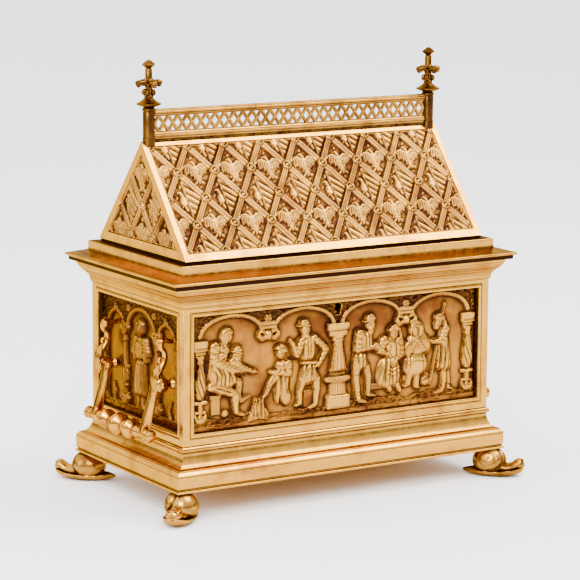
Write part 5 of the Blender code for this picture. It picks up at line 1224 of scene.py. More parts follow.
def short_side(step):
    c = Carving((SIDE_WINDOW - GAP) / MM, (WINDOW_HEIGHT - 2 * GAP) / MM, step)
    wings = [(side * 28.6, 9.4, 45.5, 55.6, 1.9) for side in (-1, 1)]
    arches = [(0.0, 16.6, 44.5, 59.7, 2.3)] + wings
    niches(c, arches)
    arcade(c, arches, 45.0)
    for x, _, _, crown, _ in wings:
        c.limb([(x, crown), (x, crown + 3.2)], (0.8, 0.45), 1.9, 1.2)
        for side in (-1, 1):
            c.ball(x + side * 1.2, crown + 1.4, 0.8, 1.0, 1.8, 0.9)
    for side in (-1, 1):
        rosette(c, side * 14.5, 58.4, 1.4)
    ground(c, 3.9, 13)
    for y in (1.0, 2.2, 3.4):
        c.block(-c.half_width, c.half_width, y, y + 0.85, 1.9, tone=0.35)
    shoe(c, -2.4, 5.0, -1, 2.4, 1.5)
    shoe(c, 2.4, 5.0, 1, 2.4, 1.5)
    leg(c, [(-2.4, 14), (-2.5, 5.4)], (2.1, 1.5), 1.4, 1.4)
    leg(c, [(2.4, 14), (2.5, 5.4)], (2.1, 1.5), 1.4, 1.4)
    c.cloth([(-6.6, 11), (-5.2, 22), (-4.8, 33), (4.8, 33), (5.2, 22), (6.6, 11), (0, 10)], 1.6, 1.9,
            folds=[([(u * 0.66, 32), (u, 11.6)], 0.6) for u in (-4.6, -2.3, 0.0, 2.3, 4.6)], seed=81,
            depth=0.6, hem=0.3)
    c.cloth([(-5.4, 32), (-6.2, 41), (-3.2, 45), (3.2, 45), (6.2, 41), (5.4, 32)], 1.7, 1.7, seed=82)
    for side in (-1, 1):
        arm(c, [(side * 5.0, 42.6), (side * 7.2, 36.2), (-side * 1.6, 33.6)], (2.5, 2.7, 1.7), 2.0, 1.6,
            rings=8)
        c.ball(side * 5.8, 33.6, 2.6, 3.4, 2.0, 1.2, side * 20)
        hand(c, -side * 1.8, 33.9, 90 + side * 90, 1.2, 2.6)
    head(c, 0.0, 49.2, 3.1, 0.1, 0, base=2.0, hair=False)
    ring = np.hypot(c.x / 4.0, (c.y - 49.8) / 4.8)
    face = np.hypot(c.x / 2.5, (c.y - 49.0) / 3.2)
    c.raise_to((ring < 1) & (face > 1), 2.5 + 1.3 * dome(ring), tone=0.0)
    for side in (-1, 1):
        c.draw_at(side * 18.1, slim_column)
        c.shaft(side * 40.6, ((4.0, 2.6), (9.0, 1.6), (18.0, 2.8), (30.0, 1.5), (43.4, 1.3)), 1.1, 1.7,
                flutes=3, twist=0.16, depth=0.4)
        c.block(side * 40.4 - 3.6, side * 40.4 + 3.6, 43.6, 49.4, 2.7, rise=0.4)
        c.limb([(side * 31.5, 4.2), (side * 30.0, 9.0), (side * 33.0, 14.0)], (1.2, 0.9, 0.3), 1.1, 1.0,
               tone=0.2)
    c.finish()
    return c


def keyhole_cutter(face):
    """A round head over a slot, near the top of the front panel's middle."""
    radius, slot = 2.5 * MM, 1.3 * MM
    centre = WINDOW_HEIGHT - 0.7 * MM - radius
    start = math.asin(slot / radius) - math.pi / 2
    outline = [(radius * math.cos(a),
                centre + radius * math.sin(a)) for a in np.linspace(start, math.pi - start, 25)]
    outline += [(-slot, centre - 4.2 * MM), (slot, centre - 4.2 * MM)]
    return loft("keyhole", [[face @ Vector((x, y, out)) for x,
                             y in outline] for out in (-2.4 * MM, 4.0 * MM)])


def carved_out(mesh, cutter):
    """The mesh less another, with its attributes kept."""
    body, tool = bpy.data.objects.new("body", mesh), bpy.data.objects.new("tool", cutter)
    for item in (body, tool):
        bpy.context.collection.objects.link(item)
    step = body.modifiers.new("cut", "BOOLEAN")
    step.object, step.solver = tool, "EXACT"
    graph = bpy.context.evaluated_depsgraph_get()
    result = bpy.data.meshes.new_from_object(body.evaluated_get(graph))
    for item in (body, tool):
        bpy.data.objects.remove(item, do_unlink=True)
    return result


def build_reliefs():
    faces = wall_faces(RECESS)
    front = long_side(FRONT_STEP, front_scenes())
    block = relief_block("front_relief_carving", front, faces["front"], GAP, 1.2 * MM, PLATE)
    block = carved_out(block, keyhole_cutter(faces["front"]))
    piece("front_relief_carving", block, RELIEF, "relief_brass", "casket", "front_relief")
    back = long_side(BACK_STEP, back_scenes())
    block = relief_block("back_relief_carving", back, faces["back"], GAP, 1.2 * MM, PLATE)
    piece("back_relief_carving", block, RELIEF, "relief_brass", "casket", "back_relief")
    side = short_side(SIDE_STEP)
    for end in ("left", "right"):
        block = relief_block(f"{end}_relief_carving", side, faces[end], GAP, 0.5 * MM, PLATE)
        piece(f"{end}_relief_carving", block, SHADED_SIDE_RELIEF, "relief_brass", "casket", f"{end}_relief")


# The roof's diaper: bands between bosses, with eagles and birds in the lozenges

LATTICE_BAND = 3.4


def eagle(c):
    """A displayed eagle drawn round the middle of the lozenge; its head turns left."""
    for side in (-1, 1):
        c.limb([(side * 1.0, 2.2), (side * 3.4, 4.4), (side * 6.0, 3.9)], (1.2, 1.0, 0.6), 1.05, 0.95)
        for i in range(5):
            top = (side * (1.5 + 1.05 * i), 3.4 + 0.12 * i)
            foot = (side * (1.9 + 1.55 * i), -4.0 + 1.35 * i)
            c.limb([top, ((top[0] + foot[0]) / 2 + side * 0.45, (top[1] + foot[1]) / 2), foot],
                   (0.5, 0.6, 0.36), 0.95, 0.95)
        c.limb([(side * 0.8, -2.6), (side * 2.1, -4.4)], (0.6, 0.5), 0.95, 0.6)
        for k in (-1, 0, 1):
            c.limb([(side * 2.1, -4.3), (side * (2.5 + 0.5 * k), -5.3 + 0.3 * abs(k))], (0.35, 0.22), 0.95,
                   0.5)
        c.ball(side * 2.2, -7.2, 0.9, 1.5, 0.9, 0.55, side * 35)
        c.limb([(side * 0.8, -4.2), (side * 1.3, -6.6)], (0.6, 0.4), 0.95, 0.6)
        c.ball(side * 5.9, -0.6, 0.5, 1.4, 0.85, 0.5, side * 15)
    c.ball(0, 0.2, 1.75, 3.7, 1.05, 1.0)
    c.limb([(0, -3.0), (0, -7.6)], (0.8, 0.5), 0.95, 0.75)
    c.limb([(0.1, 2.8), (0.2, 4.6), (-0.5, 6.0)], (1.2, 0.95, 0.95), 1.05, 0.9)
    c.ball(-0.6, 6.2, 1.15, 1.0, 1.2, 0.85)
    c.limb([(-1.2, 6.3), (-2.4, 6.1), (-2.7, 5.2)], (0.5, 0.4, 0.2), 1.1, 0.6)
    for i in range(4):
        c.line([(-0.9, 1.6 - 1.2 * i), (0, 1.0 - 1.2 * i), (0.9, 1.6 - 1.2 * i)], 0.22, -0.22)
    c.ball(-0.7, 6.4, 0.28, 0.28, 1.9, 0.25)
    c.ball(0, 9.0, 0.8, 1.3, 0.9, 0.5)
    c.ball(0, -9.8, 0.6, 1.0, 0.9, 0.5)


def bird_and_bars(c):
    """A closed bird on the left and slanting bars on the right, with a line between them."""
    c.ball(-2.6, -0.4, 1.7, 3.2, 1.0, 0.95, -14)
    c.limb([(-2.3, 1.8), (-2.4, 3.6), (-3.1, 4.5)], (1.1, 0.8, 0.75), 1.0, 0.85)
    c.limb([(-3.4, 4.6), (-4.6, 4.2)], (0.45, 0.2), 1.0, 0.6)
    for i in range(4):
        c.limb([(-3.2 + 0.5 * i, 0.9), (-2.9 + 0.62 * i, -4.6 + 0.3 * i)], (0.55, 0.3), 1.25, 0.75)
    c.limb([(-2.6, -3.4), (-1.7, -7.4)], (0.8, 0.5), 0.95, 0.7)
    c.limb([(-3.4, -3.6), (-4.3, -5.2)], (0.4, 0.3), 0.95, 0.5)
    c.ball(-5.6, 1.2, 0.6, 1.3, 0.9, 0.5, -20)
    c.ball(-1.6, 8.0, 0.7, 1.5, 0.9, 0.5, -12)
    c.limb([(0, 11.0), (0, -11.0)], (0.38, 0.38), 0.95, 0.75)
    right = (c.x > 0.2) & (np.abs(c.x) / 8.3 + np.abs(c.y) / 12.2 < 1)
    for i in range(5):
        middle = 9.0 - 4.7 * i
        d = (c.y - middle + 0.85 * (c.x - 3.0)) * 0.76
        c.raise_to(right & (np.abs(d) < 1.3), 1.05 + 0.85 * dome(d / 1.3, 0.35), tone=0.0)


def lattice(c, pitch, row, node):
    """Draws the whole diaper; node is the place of one boss."""
    x, y = c.x - node[0], c.y - node[1]
    u, w = x / pitch + y / (2 * row), x / pitch - y / (2 * row)
    j = np.floor(u) - np.floor(w)
    centre_x = (np.floor(u) + np.floor(w) + 1) / 2 * pitch
    centre_y = j * row
    c.tone[:] = 0.70
    c.h = 0.45 + 0.07 * lumps(c.x, c.y, 91, 0.7)
    full_x, full_y = c.x, c.y
    c.x, c.y = x - centre_x, y - centre_y
    start_h, start_tone = c.h.copy(), c.tone.copy()
    eagle(c)
    eagle_h, eagle_tone = c.h, c.tone
    c.h, c.tone = start_h.copy(), start_tone
    bird_and_bars(c)
    odd = np.mod(j, 2) == 1
    c.h, c.tone = np.where(odd, eagle_h, c.h), np.where(odd, eagle_tone, c.tone)
    c.x, c.y = full_x, full_y
    slope = math.hypot(1 / pitch, 1 / (2 * row))
    for value, way in ((u, -1), (w, 1)):
        d = np.abs(value - np.round(value)) / slope
        length = math.hypot(pitch / 2, row)
        along = (x * pitch / 2 + way * y * row) / length
        inside = d < LATTICE_BAND / 2
        rail = 1.5 + 0.45 * np.exp(-((d - 1.18) / 0.32) ** 2) - 0.30 * np.exp(-((d - 0.60) / 0.18) ** 2)
        c.raise_to(inside, rail, tone=0.0)
        bead = np.hypot((np.mod(along, 1.30) - 0.65) / 0.55, d / 0.48)
        c.raise_to((d < 0.62), np.where(bead < 1, 1.40 + 0.36 * dome(bead), 1.30), tone=0.42)
        c.tone = np.where(d < 0.55, np.maximum(c.tone, 0.40), c.tone)
    near_u, near_w = np.round(u), np.round(w)
    distance = np.hypot(x - (near_u + near_w) / 2 * pitch, y - (near_u - near_w) * row)
    near = distance < 3.1
    c.h = np.where(near, 1.25 + 1.35 * np.exp(-((distance - 2.2) / 0.42) ** 2), c.h)
    c.tone = np.where(near, np.where(np.abs(distance - 2.2) < 0.62, 0.0, 0.62), c.tone)
    c.raise_to(distance < 1.1, 1.7 + 0.8 * dome(distance / 1.1), tone=0.0)


def slope_frame(way, depth):
    """way is -1 for the front slope and 1 for the back one."""
    c, s = math.cos(ROOF_ANGLE), math.sin(ROOF_ANGLE)
    face = face_frame((0, way * ROOF_HALF, EAVES), (-way, 0, 0), (0, -way * c, s))
    return face @ Matrix.Translation((0, 0, -depth))


def build_roof_panels():
    half = GABLE_X - VERGE_BORDER - GAP
    high = SLOPE_LENGTH - RIDGE_BORDER - EAVES_BORDER - 2 * GAP
    for name, way, step in (("front", -1, FRONT_STEP), ("back", 1, ROOF_BACK_STEP)):
        c = Carving(half / MM, high / MM, step)
        lattice(c, 2 * half / MM / 8, high / MM / 4, (0, 0))
        rim = np.minimum(np.minimum(c.half_width - np.abs(c.x), c.y), c.height - c.y)
        c.raise_to(rim < 0.7, 1.5, tone=0.1)
        c.finish()
        block = relief_block(f"roof_{name}_diaper", c, slope_frame(way, ROOF_DEPTH), EAVES_BORDER + GAP,
                             0.9 * MM, PLATE)
        piece(f"roof_{name}_diaper", block, LATTICE, "lattice_brass", "lid", f"roof_{name}_panel")
    for name, way in (("left", -1), ("right", 1)):
        build_gable_panel(name, way)


def build_gable_panel(name, way):
    base = EAVES_BORDER + GAP
    half = ROOF_HALF - (GABLE_BORDER + GAP) / math.sin(ROOF_ANGLE)
    slope = math.tan(ROOF_ANGLE)
    low_half, top = half - base / slope, half * slope - base
    c = Carving(low_half / MM, (top - 1.2 * MM) / MM, SIDE_STEP)
    share = c.x / c.half_width
    c.x = share * (low_half / MM - c.y / slope)
    lattice(c, 25.2, 16.2, (0, 18.6))
    away = np.minimum((1 - np.abs(share)) * (low_half / MM - c.y / slope) * math.sin(ROOF_ANGLE), c.y)
    c.raise_to(away < 0.7, 1.5, tone=0.1)
    c.finish()
    lap = 0.7
    edge = lap / math.sin(ROOF_ANGLE)
    x = np.pad(c.x, 2, mode="edge")
    y = np.pad(c.y, 2, mode="edge") + base / MM
    x[:, 0] -= edge
    x[:, -1] += edge
    y[0] -= lap
    y[-1] += lap
    h = np.pad(c.h, 2)
    # The lap is painted fully dark: painted shade where it shows in the gap behind the border.
    cavity, tone = (np.pad(v, 2, constant_values=1.0) for v in (c.cavity, c.tone))
    face = face_frame((way * GABLE_X, 0, EAVES), (0, way, 0),
                      (0, 0, 1)) @ Matrix.Translation((0, 0, -ROOF_DEPTH))
    block = sheet_block(f"gable_{name}_diaper", x * MM, y * MM, h * MM, face, PLATE, cavity, tone)
    piece(f"gable_{name}_diaper", block, LATTICE, "lattice_brass", "lid", f"gable_{name}_panel")


# The crest and its finials

def crest_bar(a, b, deep):
    """A bar between two points of the crest's plane, wider in the middle, its edges chamfered."""
    (ax, az), (bx, bz) = a, b
    wide, swell = 0.80 * MM, 1.22
    length = math.hypot(bx - ax, bz - az)
    dx, dz = (bx - ax) / length, (bz - az) / length
    loops = []
    for share in (0.0, 0.12, 0.3, 0.5, 0.7, 0.88, 1.0):
        half = wide * (swell + (1 - swell) * abs(2 * share - 1) ** 0.8)
        cx, cz = ax + dx * length * share, az + dz * length * share
        ring = []
        for across, out in ((1, .45), (.55, 1), (-.55, 1), (-1, .45), (-1, -.45), (-.55, -1), (.55, -1),
                            (1, -.45)):
            ring.append((cx - dz * half * across, deep * out, cz + dx * half * across))
        loops.append(ring)
    return loops


def build_crest():
    half = CREST_HIGH.x
    low, high = CREST_LOW.z, CREST_HIGH.z
    deep = CREST_HIGH.y
    bottom, top = low + 4.0 * MM, high - 4.0 * MM
    rails = []
    lower = ((0.62, 0), (0.62, 0.9), (1, 1.2), (1, 2.0), (0.75, 2.3), (0.85, 2.9), (0.55, 3.4), (0.5, 4.0))
    upper = ((0.5, 0), (0.55, 0.4), (0.85, 0.8), (0.7, 1.4), (1, 1.9), (1, 2.6), (0.8, 2.9), (0.9, 3.6),
             (0.6, 4.0))
    for label, base, shape in (("lower", low, lower), ("upper", top, upper)):
        outline = [(share * deep, base + up * MM) for share, up in shape]
        line = resampled(rounded(outline, 0.18 * MM), 0.3 * MM)
        cavity = hollowness(line, 0.5 * MM, 0.16 * MM)
        section = line + [(-y, z) for y, z in reversed(line)]
        points = [(x, y, z) for x in (-half, half) for y, z in section]
        count = len(section)
        faces = [tuple(range(count)), tuple(range(count, 2 * count))]
        faces += [(i, (i + 1) % count, count + (i + 1) % count, count + i) for i in range(count)]
        shade = np.concatenate([cavity, cavity[::-1]])
        # Faces turned down get painted shade through the tone attribute.
        ahead = np.gradient(np.array(section), axis=0)
        under = 0.45 * np.clip(ahead[:, 0] / (np.linalg.norm(ahead, axis=1) + 1e-12), 0, 1)
        rails.append(to_mesh(f"crest_{label}", points, faces, np.tile(shade, 2), np.tile(under, 2)))
    cells = round(2 * half / (5.87 * MM))
    pitch = 2 * half / cells
    bars, middle = [], (bottom + top) / 2
    thick = 1.0 * MM
    for cell in range(cells):
        x0, x1 = -half + cell * pitch, -half + (cell + 1) * pitch
        xm = (x0 + x1) / 2
        above, below = (xm, top + 0.2 * MM), (xm, bottom - 0.2 * MM)
        bars += [crest_bar((x0, middle), above, thick), crest_bar(above, (x1, middle), thick * 0.94),
                 crest_bar((x0, middle), below, thick * 0.97), crest_bar(below, (x1, middle), thick * 0.91)]
    for cell in range(cells + 1):
        x = min(max(-half + cell * pitch, -half + 0.55 * MM), half - 0.55 * MM)
        bars.append(knot(x, middle, 1.05 * MM, 1.25 * MM))
    sill_top, sill_base = low + 0.5 * MM, RIDGE - 0.3 * MM
    section = ((-0.4 * deep, sill_top), (0.4 * deep, sill_top), (0.55 * deep, sill_base),
               (-0.55 * deep, sill_base))
    sill = [[(x, y, z) for y, z in section] for x in (-half, half)]
    # The sill is set back and painted fully dark: painted shade under the openwork.
    rails.append(loft("crest_sill", sill, [1.0, 1.0]))
    openwork = joined_lofts("crest_openwork", bars, [0.12] * sum(len(loops) * 8 for loops in bars))
    mesh = merged([openwork] + rails, "crest_pierced")
    piece("crest_pierced", mesh, CREST, "toned_brass", "lid", "crest", sharp=40)


def knot(x, z, size, deep):
    """A small faceted stud at a crossing of the crest's bars."""
    loops = []
    for out, share in ((-1.0, 0.45), (-0.55, 1.0), (0.55, 1.0), (1.0, 0.45)):
        loops.append([(x + size * share * math.cos(a), out * deep, z + size * share * math.sin(a))
                      for a in (math.pi / 4 * k for k in range(8))])
    return loops


# Finials

def leaf_arm(spin, reach):
    """A broad crocket leaf that leaves the stem level and droops at its end."""
    path = [(0.6 * MM, 0, 0.2 * MM), (0.35 * reach, 0, 1.3 * MM), (0.72 * reach, 0, 1.7 * MM),
            (0.93 * reach, 0, 1.3 * MM),
            (reach, 0, 0.3 * MM)]
    return tube("leaf_arm", [spin @ Vector(p) for p in path],
                [1.4 * MM, 1.7 * MM, 2.0 * MM, 2.0 * MM, 1.1 * MM],
                spin.to_3x3() @ Vector((0, 1, 0)), 12, [1.8 * MM, 1.5 * MM, 1.3 * MM, 1.3 * MM, 0.8 * MM])


def lump(name, matrix, size, rings=14, sides=20, dark=0.0):
    """A closed rounded form; dark sets how dark it is coloured."""
    points = [matrix @ Vector((0, 0, size[2]))]
    for j in range(1, rings):
        phi = math.pi * j / rings
        for i in range(sides):
            theta = 2 * math.pi * i / sides
            points.append(matrix @ Vector((size[0] * math.sin(phi) * math.cos(theta),
                                           size[1] * math.sin(phi) * math.sin(theta),
                                           size[2] * math.cos(phi))))
    points.append(matrix @ Vector((0, 0, -size[2])))
    faces = [(0, 1 + i, 1 + (i + 1) % sides) for i in range(sides)]
    faces += band_faces(1, rings - 1, sides)
    last = len(points) - 1
    start = 1 + (rings - 2) * sides
    faces += [(start + i, last, start + (i + 1) % sides) for i in range(sides)]
    return to_mesh(name, points, faces, [dark] * len(points))


def build_finials():
    low, high = node_box("finial_left")
    post_top, top, foot = RIDGE + 18.3 * MM, high.z, low.z
    for end, sign in (("left", -1), ("right", 1)):
        upright = Matrix.Translation((sign * POST_X, 0, 0))
        half = 2.8 * MM
        chamfer, inner = half - 0.75 * MM, half - 1.5 * MM
        corners = [(half, 0.0), (half, inner), (half, chamfer), (chamfer, half), (inner, half)]
        # The post's flat faces are coloured darker and its chamfered corners left bright.
        shades = [0.85, 0.75, 0.0, 0.0, 0.75]
        loops, face_darkness = [], []
        for share, z in ((0.90, foot), (1.0, foot + 0.1 * MM), (1.0, RIDGE + 2.0 * MM),
                         (0.90, RIDGE + 2.3 * MM),
                         (0.96, RIDGE + 2.7 * MM), (0.96, post_top - 2.6 * MM), (0.88, post_top - 2.2 * MM),
                         (1.06, post_top - 1.8 * MM), (1.06, post_top - 0.5 * MM), (0.8, post_top)):
            loop = []
            for turn in range(4):
                c, s = math.cos(turn * math.pi / 2), math.sin(turn * math.pi / 2)
                loop += [upright @ Vector((share * (x * c - y * s), share * (x * s + y * c), z)) for x,
                         y in corners]
            loops.append(loop)
            face_darkness += shades * 4
        post = loft("post", loops, face_darkness)
        r = 6.75 * MM
        stem = turned("stem", [(1.6 * MM, post_top - 0.3 * MM), (2.9 * MM, post_top),
                               (4.4 * MM, post_top + 0.6 * MM),
                               (r, post_top + 1.6 * MM), (r, post_top + 2.3 * MM),
                               (4.9 * MM, post_top + 3.2 * MM),
                               (3.5 * MM, post_top + 4.2 * MM), (2.5 * MM, post_top + 5.2 * MM),
                               (2.4 * MM, post_top + 5.8 * MM),
                               (2.8 * MM, post_top + 6.2 * MM), (2.3 * MM, post_top + 6.9 * MM),
                               (2.1 * MM, post_top + 8.6 * MM),
                               (1.5 * MM, post_top + 9.4 * MM)], upright, 36, 0.15 * MM)
        square = []
        for wide, z in ((1.75, post_top + 8.0 * MM), (1.65, post_top + 12.0 * MM), (1.55, top - 5.2 * MM),
                        (1.2, top - 4.6 * MM)):
            square.append([upright @ Vector((wide * MM * x, wide * MM * y, z)) for x, y in
                           ((1, .7), (.7, 1), (-.7, 1), (-1, .7), (-1, -.7), (-.7, -1), (.7, -1), (1, -.7))])
        shaft = loft("shaft", square)
        bud = turned("bud", [(1.2 * MM, top - 5.2 * MM), (1.4 * MM, top - 4.7 * MM),
                             (3.5 * MM, top - 2.9 * MM),
                             (3.75 * MM, top - 2.4 * MM), (1.7 * MM, top - 0.7 * MM), (0.5 * MM, top)],
                     upright, 32, 0.2 * MM, flutes=4, depth=0.07)
        shells = [post, stem, shaft, bud]
        for turn in range(4):
            spin = upright @ Matrix.Rotation(turn * math.pi / 2, 4, "Z")
            arm_spin = spin @ Matrix.Translation((0, 0, post_top + 12.2 * MM))
            shells.append(leaf_arm(arm_spin, 7.3 * MM))
            tip = arm_spin @ Matrix.Translation((6.3 * MM, 0, 0.2 * MM))
            shells.append(lump("leaf_tip", tip, (1.2 * MM, 1.9 * MM, 1.4 * MM)))
            lower = spin @ Matrix.Rotation(math.pi / 4, 4,
                                           "Z") @ Matrix.Translation((2.7 * MM, 0, post_top + 8.4 * MM))
            drop = lower @ Matrix.Rotation(-0.25, 4, "Y")
            shells.append(lump("bud_leaf", drop, (1.25 * MM, 1.4 * MM, 1.8 * MM)))
            shells.append(lump("crossing_leaf", spin @ Matrix.Translation((2.2 * MM, 0, post_top + 14.6 * MM))
                               @ Matrix.Rotation(-0.5, 4, "Y"), (0.8 * MM, 1.2 * MM, 2.1 * MM)))
        piece(f"finial_{end}_flower", merged(shells, f"finial_{end}_flower"), TONED, "toned_brass", "lid",
              f"finial_{end}", sharp=42)


# Feet: snails that look outward

def foot_frame(sx, sy):
    away = 7.2 * MM / math.sqrt(2)
    x, y = PLINTH_HIGH.x - away, PLINTH_HIGH.y - away
    return Matrix.Translation((sx * x, sy * y, 0)) @ Matrix.Rotation(math.atan2(sy, sx), 4, "Z")


def snail_shell(frame):
    """A globose shell: one great whorl, parted by a deep seam from the small ones on its side."""
    centre = frame @ Matrix.Translation((-0.6 * MM, 0, 8.6 * MM)) @ Matrix.Rotation(math.radians(72), 4, "X")
    rings, sides = 48, 64
    points, cavity = [], []
    for j in range(rings + 1):
        phi = math.pi * (0.002 + 0.996 * j / rings)
        for i in range(sides):
            theta = 2 * math.pi * i / sides
            turn = (theta / (2 * math.pi) + 0.25) % 1.0
            seam = math.pi * (0.31 + 0.12 * turn)
            groove = math.exp(-((phi - seam) / 0.085) ** 2)
            inner = 0.6 * math.exp(-((phi - 0.42 * seam) / 0.06) ** 2)
            swell = 1.0 + 0.05 * math.sin(math.pi * min(1.0, phi / seam)) - 0.15 * groove - 0.07 * inner
            k = swell * (1 + 0.004 * math.sin(theta * 26 + phi * 4)) * 0.985
            p = centre @ Vector((k * 10.1 * MM * math.sin(phi) * math.cos(theta),
                                 k * 8.4 * MM * math.sin(phi) * math.sin(theta),
                                 k * 9.4 * MM * math.cos(phi)))
            # Painted shadow on the shell's top under the plinth and on its lower part near the ground.
            shadow = 0.8 * (p.z > FOOT_HEIGHT - 1.2 * MM) + 0.75 * max(0.0, 1 - (p.z - 3.0 * MM) / (3.4 * MM))
            p.z = min(max(p.z, 1.5 * MM), FOOT_HEIGHT - 0.1 * MM)
            points.append(p)
            cavity.append(min(1, max(0.95 * groove, 0.9 * inner, shadow)))
    faces = band_faces(0, rings + 1, sides)
    faces += [tuple(range(sides))[::-1], tuple(rings * sides + i for i in range(sides))]
    return to_mesh("snail_shell", points, faces, cavity)


def snail_sole(frame):
    """A boat-like sole with a wavy bright rim, hollow and brown inside, and a pointed tail."""
    tail, length = -0.44 * 36.8 * MM, 35.4 * MM
    stations = ((0.0, 0.06, 0.20, 0.13), (0.05, 0.22, 0.22, 0.08), (0.14, 0.52, 0.22, 0.03),
                (0.28, 0.84, 0.21, 0.0),
                (0.48, 1.0, 0.21, 0.0), (0.64, 1.0, 0.22, 0.0), (0.78, 0.88, 0.24, 0.03),
                (0.88, 0.70, 0.28, 0.08),
                (0.95, 0.52, 0.33, 0.14), (0.985, 0.36, 0.36, 0.20), (1.0, 0.16, 0.37, 0.28))
    shares, wides, rims, lifts = (np.array(v) for v in zip(*stations))
    top = [(1.0, -0.05, 0.0), (0.97, 0.35, 0.0), (0.86, 0.35, 0.1), (0.78, -0.5, 0.8), (0.55, -1.3, 1.0),
           (0.0, -1.5, 1.0)]
    loops, cavity = [], []
    for share in np.linspace(0, 1, 56):
        wide, rim, lift = (float(np.interp(share, shares, v)) for v in (wides, rims, lifts))
        half, low, edge = 8.6 * MM * wide, FOOT_HEIGHT * lift, FOOT_HEIGHT * rim
        depth = min(1.0, wide * 1.6) * MM
        loop = []
        for across, drop, dark in top + [(-a, d, k) for a, d, k in reversed(top[:-1])]:
            phase = share * 40 + (1.3 if across > 0 else 0)
            ripple = 0.28 * MM * math.sin(phase) * abs(across) ** 3 * min(1.0, wide)
            loop.append((half * across + (ripple if across > 0 else -ripple),
                         max(edge + depth * drop, low + 0.2 * MM)))
            cavity.append(dark)
        for across in (-0.9, -0.7, -0.4, 0.0, 0.4, 0.7, 0.9):
            loop.append((half * across, low + (edge - low) * 0.72 * abs(across) ** 2.4))
            cavity.append(0.15)
        loops.append([frame @ Vector((tail + length * share, y, max(z, 0.0))) for y, z in loop])
    return loft("snail_sole", loops, cavity)


def snail_head(frame):
    """A neck that leaves the shell and a blunt lifted head with two eyes and a slit of a mouth."""
    def at(*path):
        return [frame @ Vector((x * MM, y * MM, z * MM)) for x, y, z in path]

    aside = frame.to_3x3() @ Vector((0, 1, 0))
    neck = tube("neck", at((2, 0, 5.2), (8.5, 0, 4.8), (12.6, 0, 5.6), (15.6, 0, 7.4), (17.6, 0, 9.0)),
                [5.2 * MM, 4.8 * MM, 4.4 * MM, 4.2 * MM, 2.8 * MM], aside, 24,
                [4.2 * MM, 2.9 * MM, 2.6 * MM, 2.7 * MM, 2.0 * MM])
    snout = frame @ Matrix.Translation((16.6 * MM, 0, 7.5 * MM)) @ Matrix.Rotation(-0.45, 4, "Y")
    shells = [neck, lump("snout", snout, (3.0 * MM, 4.3 * MM, 3.3 * MM), 22, 32)]
    for side in (-1, 1):
        shells.append(lump("eye", frame @ Matrix.Translation((18.3 * MM, side * 1.9 * MM, 9.5 * MM)),
                           (0.6 * MM, 0.7 * MM, 0.6 * MM),
                           8, 12, dark=1.0))
    # The mouth is a thin rod painted fully dark: painted shade standing for a slit.
    mouth = tube("mouth", at((19.2, -1.7, 6.9), (19.62, 0, 6.8), (19.2, 1.7, 6.9)),
                 [0.34 * MM, 0.42 * MM, 0.34 * MM], (0, 0, 1), 10)
    mouth.attributes.new("cavity", "FLOAT", "POINT").data.foreach_set("value", np.ones(len(mouth.vertices),
                                                                                       np.float32))
    return shells + [mouth]


def build_feet():
    for name, sx, sy in (("front_left", -1, -1), ("front_right", 1, -1), ("back_left", -1, 1),
                         ("back_right", 1, 1)):
        frame_here = foot_frame(sx, sy)
        shells = [snail_sole(frame_here), snail_shell(frame_here)] + snail_head(frame_here)
        piece(f"foot_{name}_snail", merged(shells, f"foot_{name}_snail"), FOOT, "foot_brass", "casket",
              f"foot_{name}", sharp=60)


# Handles

def build_brackets():
    wall = HALF_LENGTH - RECESS + 0.5 * MM + GAP
    inner = ARM_Y + ARM_THICKNESS / 2 + GAP
    for end, sx in (("left", -1), ("right", 1)):
        for depth, sy in (("front", -1), ("back", 1)):
            along = Matrix.Translation((sx * PIVOT_X, sy * inner,
                                        PIVOT_Z)) @ Matrix.Rotation(-sy * math.pi / 2, 4, "X")
            barrel = turned("barrel", [(3.3 * MM, 0), (4.1 * MM, 0.15 * MM), (4.2 * MM, 1.2 * MM),
                                       (3.6 * MM, 1.6 * MM),
                                       (3.6 * MM, 3.6 * MM), (4.2 * MM, 4.0 * MM), (4.2 * MM, 5.6 * MM),
                                       (3.3 * MM, 6.2 * MM),
                                       (2.2 * MM, 6.5 * MM), (2.1 * MM, 7.0 * MM), (1.5 * MM, 7.7 * MM),
                                       (0.5 * MM, 7.8 * MM)],
                            along, 32, 0.2 * MM)
            y = sy * (inner + 3.4 * MM)

            def at(out, up, aside=0.0):
                return (sx * (HALF_LENGTH + out * MM), y + aside * MM, PIVOT_Z + up * MM)

            seat = (wall - HALF_LENGTH) / MM
            foot = tube("foot", [at(seat, 0), at(seat + 2.0, 0), at(1.4, 0)], [3.1 * MM, 2.1 * MM, 2.6 * MM],
                        (0, 1, 0), 20)
            scroll = tube("scroll", [at(seat, 22.9), at(0.3, 24.0), at(2.6, 23.6), at(3.0, 20.6),
                                     at(0.8, 17.6), at(0.6, 13.6),
                                     at(2.6, 9.6), at(5.0, 6.0), at(5.2, 3.2)],
                          [1.3 * MM, 1.5 * MM, 1.7 * MM, 1.6 * MM, 1.5 * MM, 1.6 * MM, 1.9 * MM, 1.7 * MM,
                           1.2 * MM], (0, 1, 0), 18)
            knob = lump("knob", Matrix.Translation(at(2.4, 22.9, -sy * 1.6)), (2.6 * MM, 2.6 * MM, 2.6 * MM),
                        18, 24)
            curl = [at(3.0 + 1.7 * math.cos(a) * (1 - a / 14), 13.4 + 1.9 * math.sin(a) * (1 - a / 14),
                       -sy * 0.4)
                    for a in np.linspace(2.6, 8.2, 9)]
            volute = tube("volute", curl, [1.0 * MM] * 9, (0, 1, 0), 12)
            leaf = hanging_leaf(sx, y)
            shells = [barrel, foot, scroll, knob, volute, leaf]
            piece(f"bracket_{end}_{depth}_scroll", merged(shells, f"bracket_{end}_{depth}_scroll"), HANDLE,
                  "handle_brass",
                  "casket", f"bracket_{end}_{depth}", sharp=50)


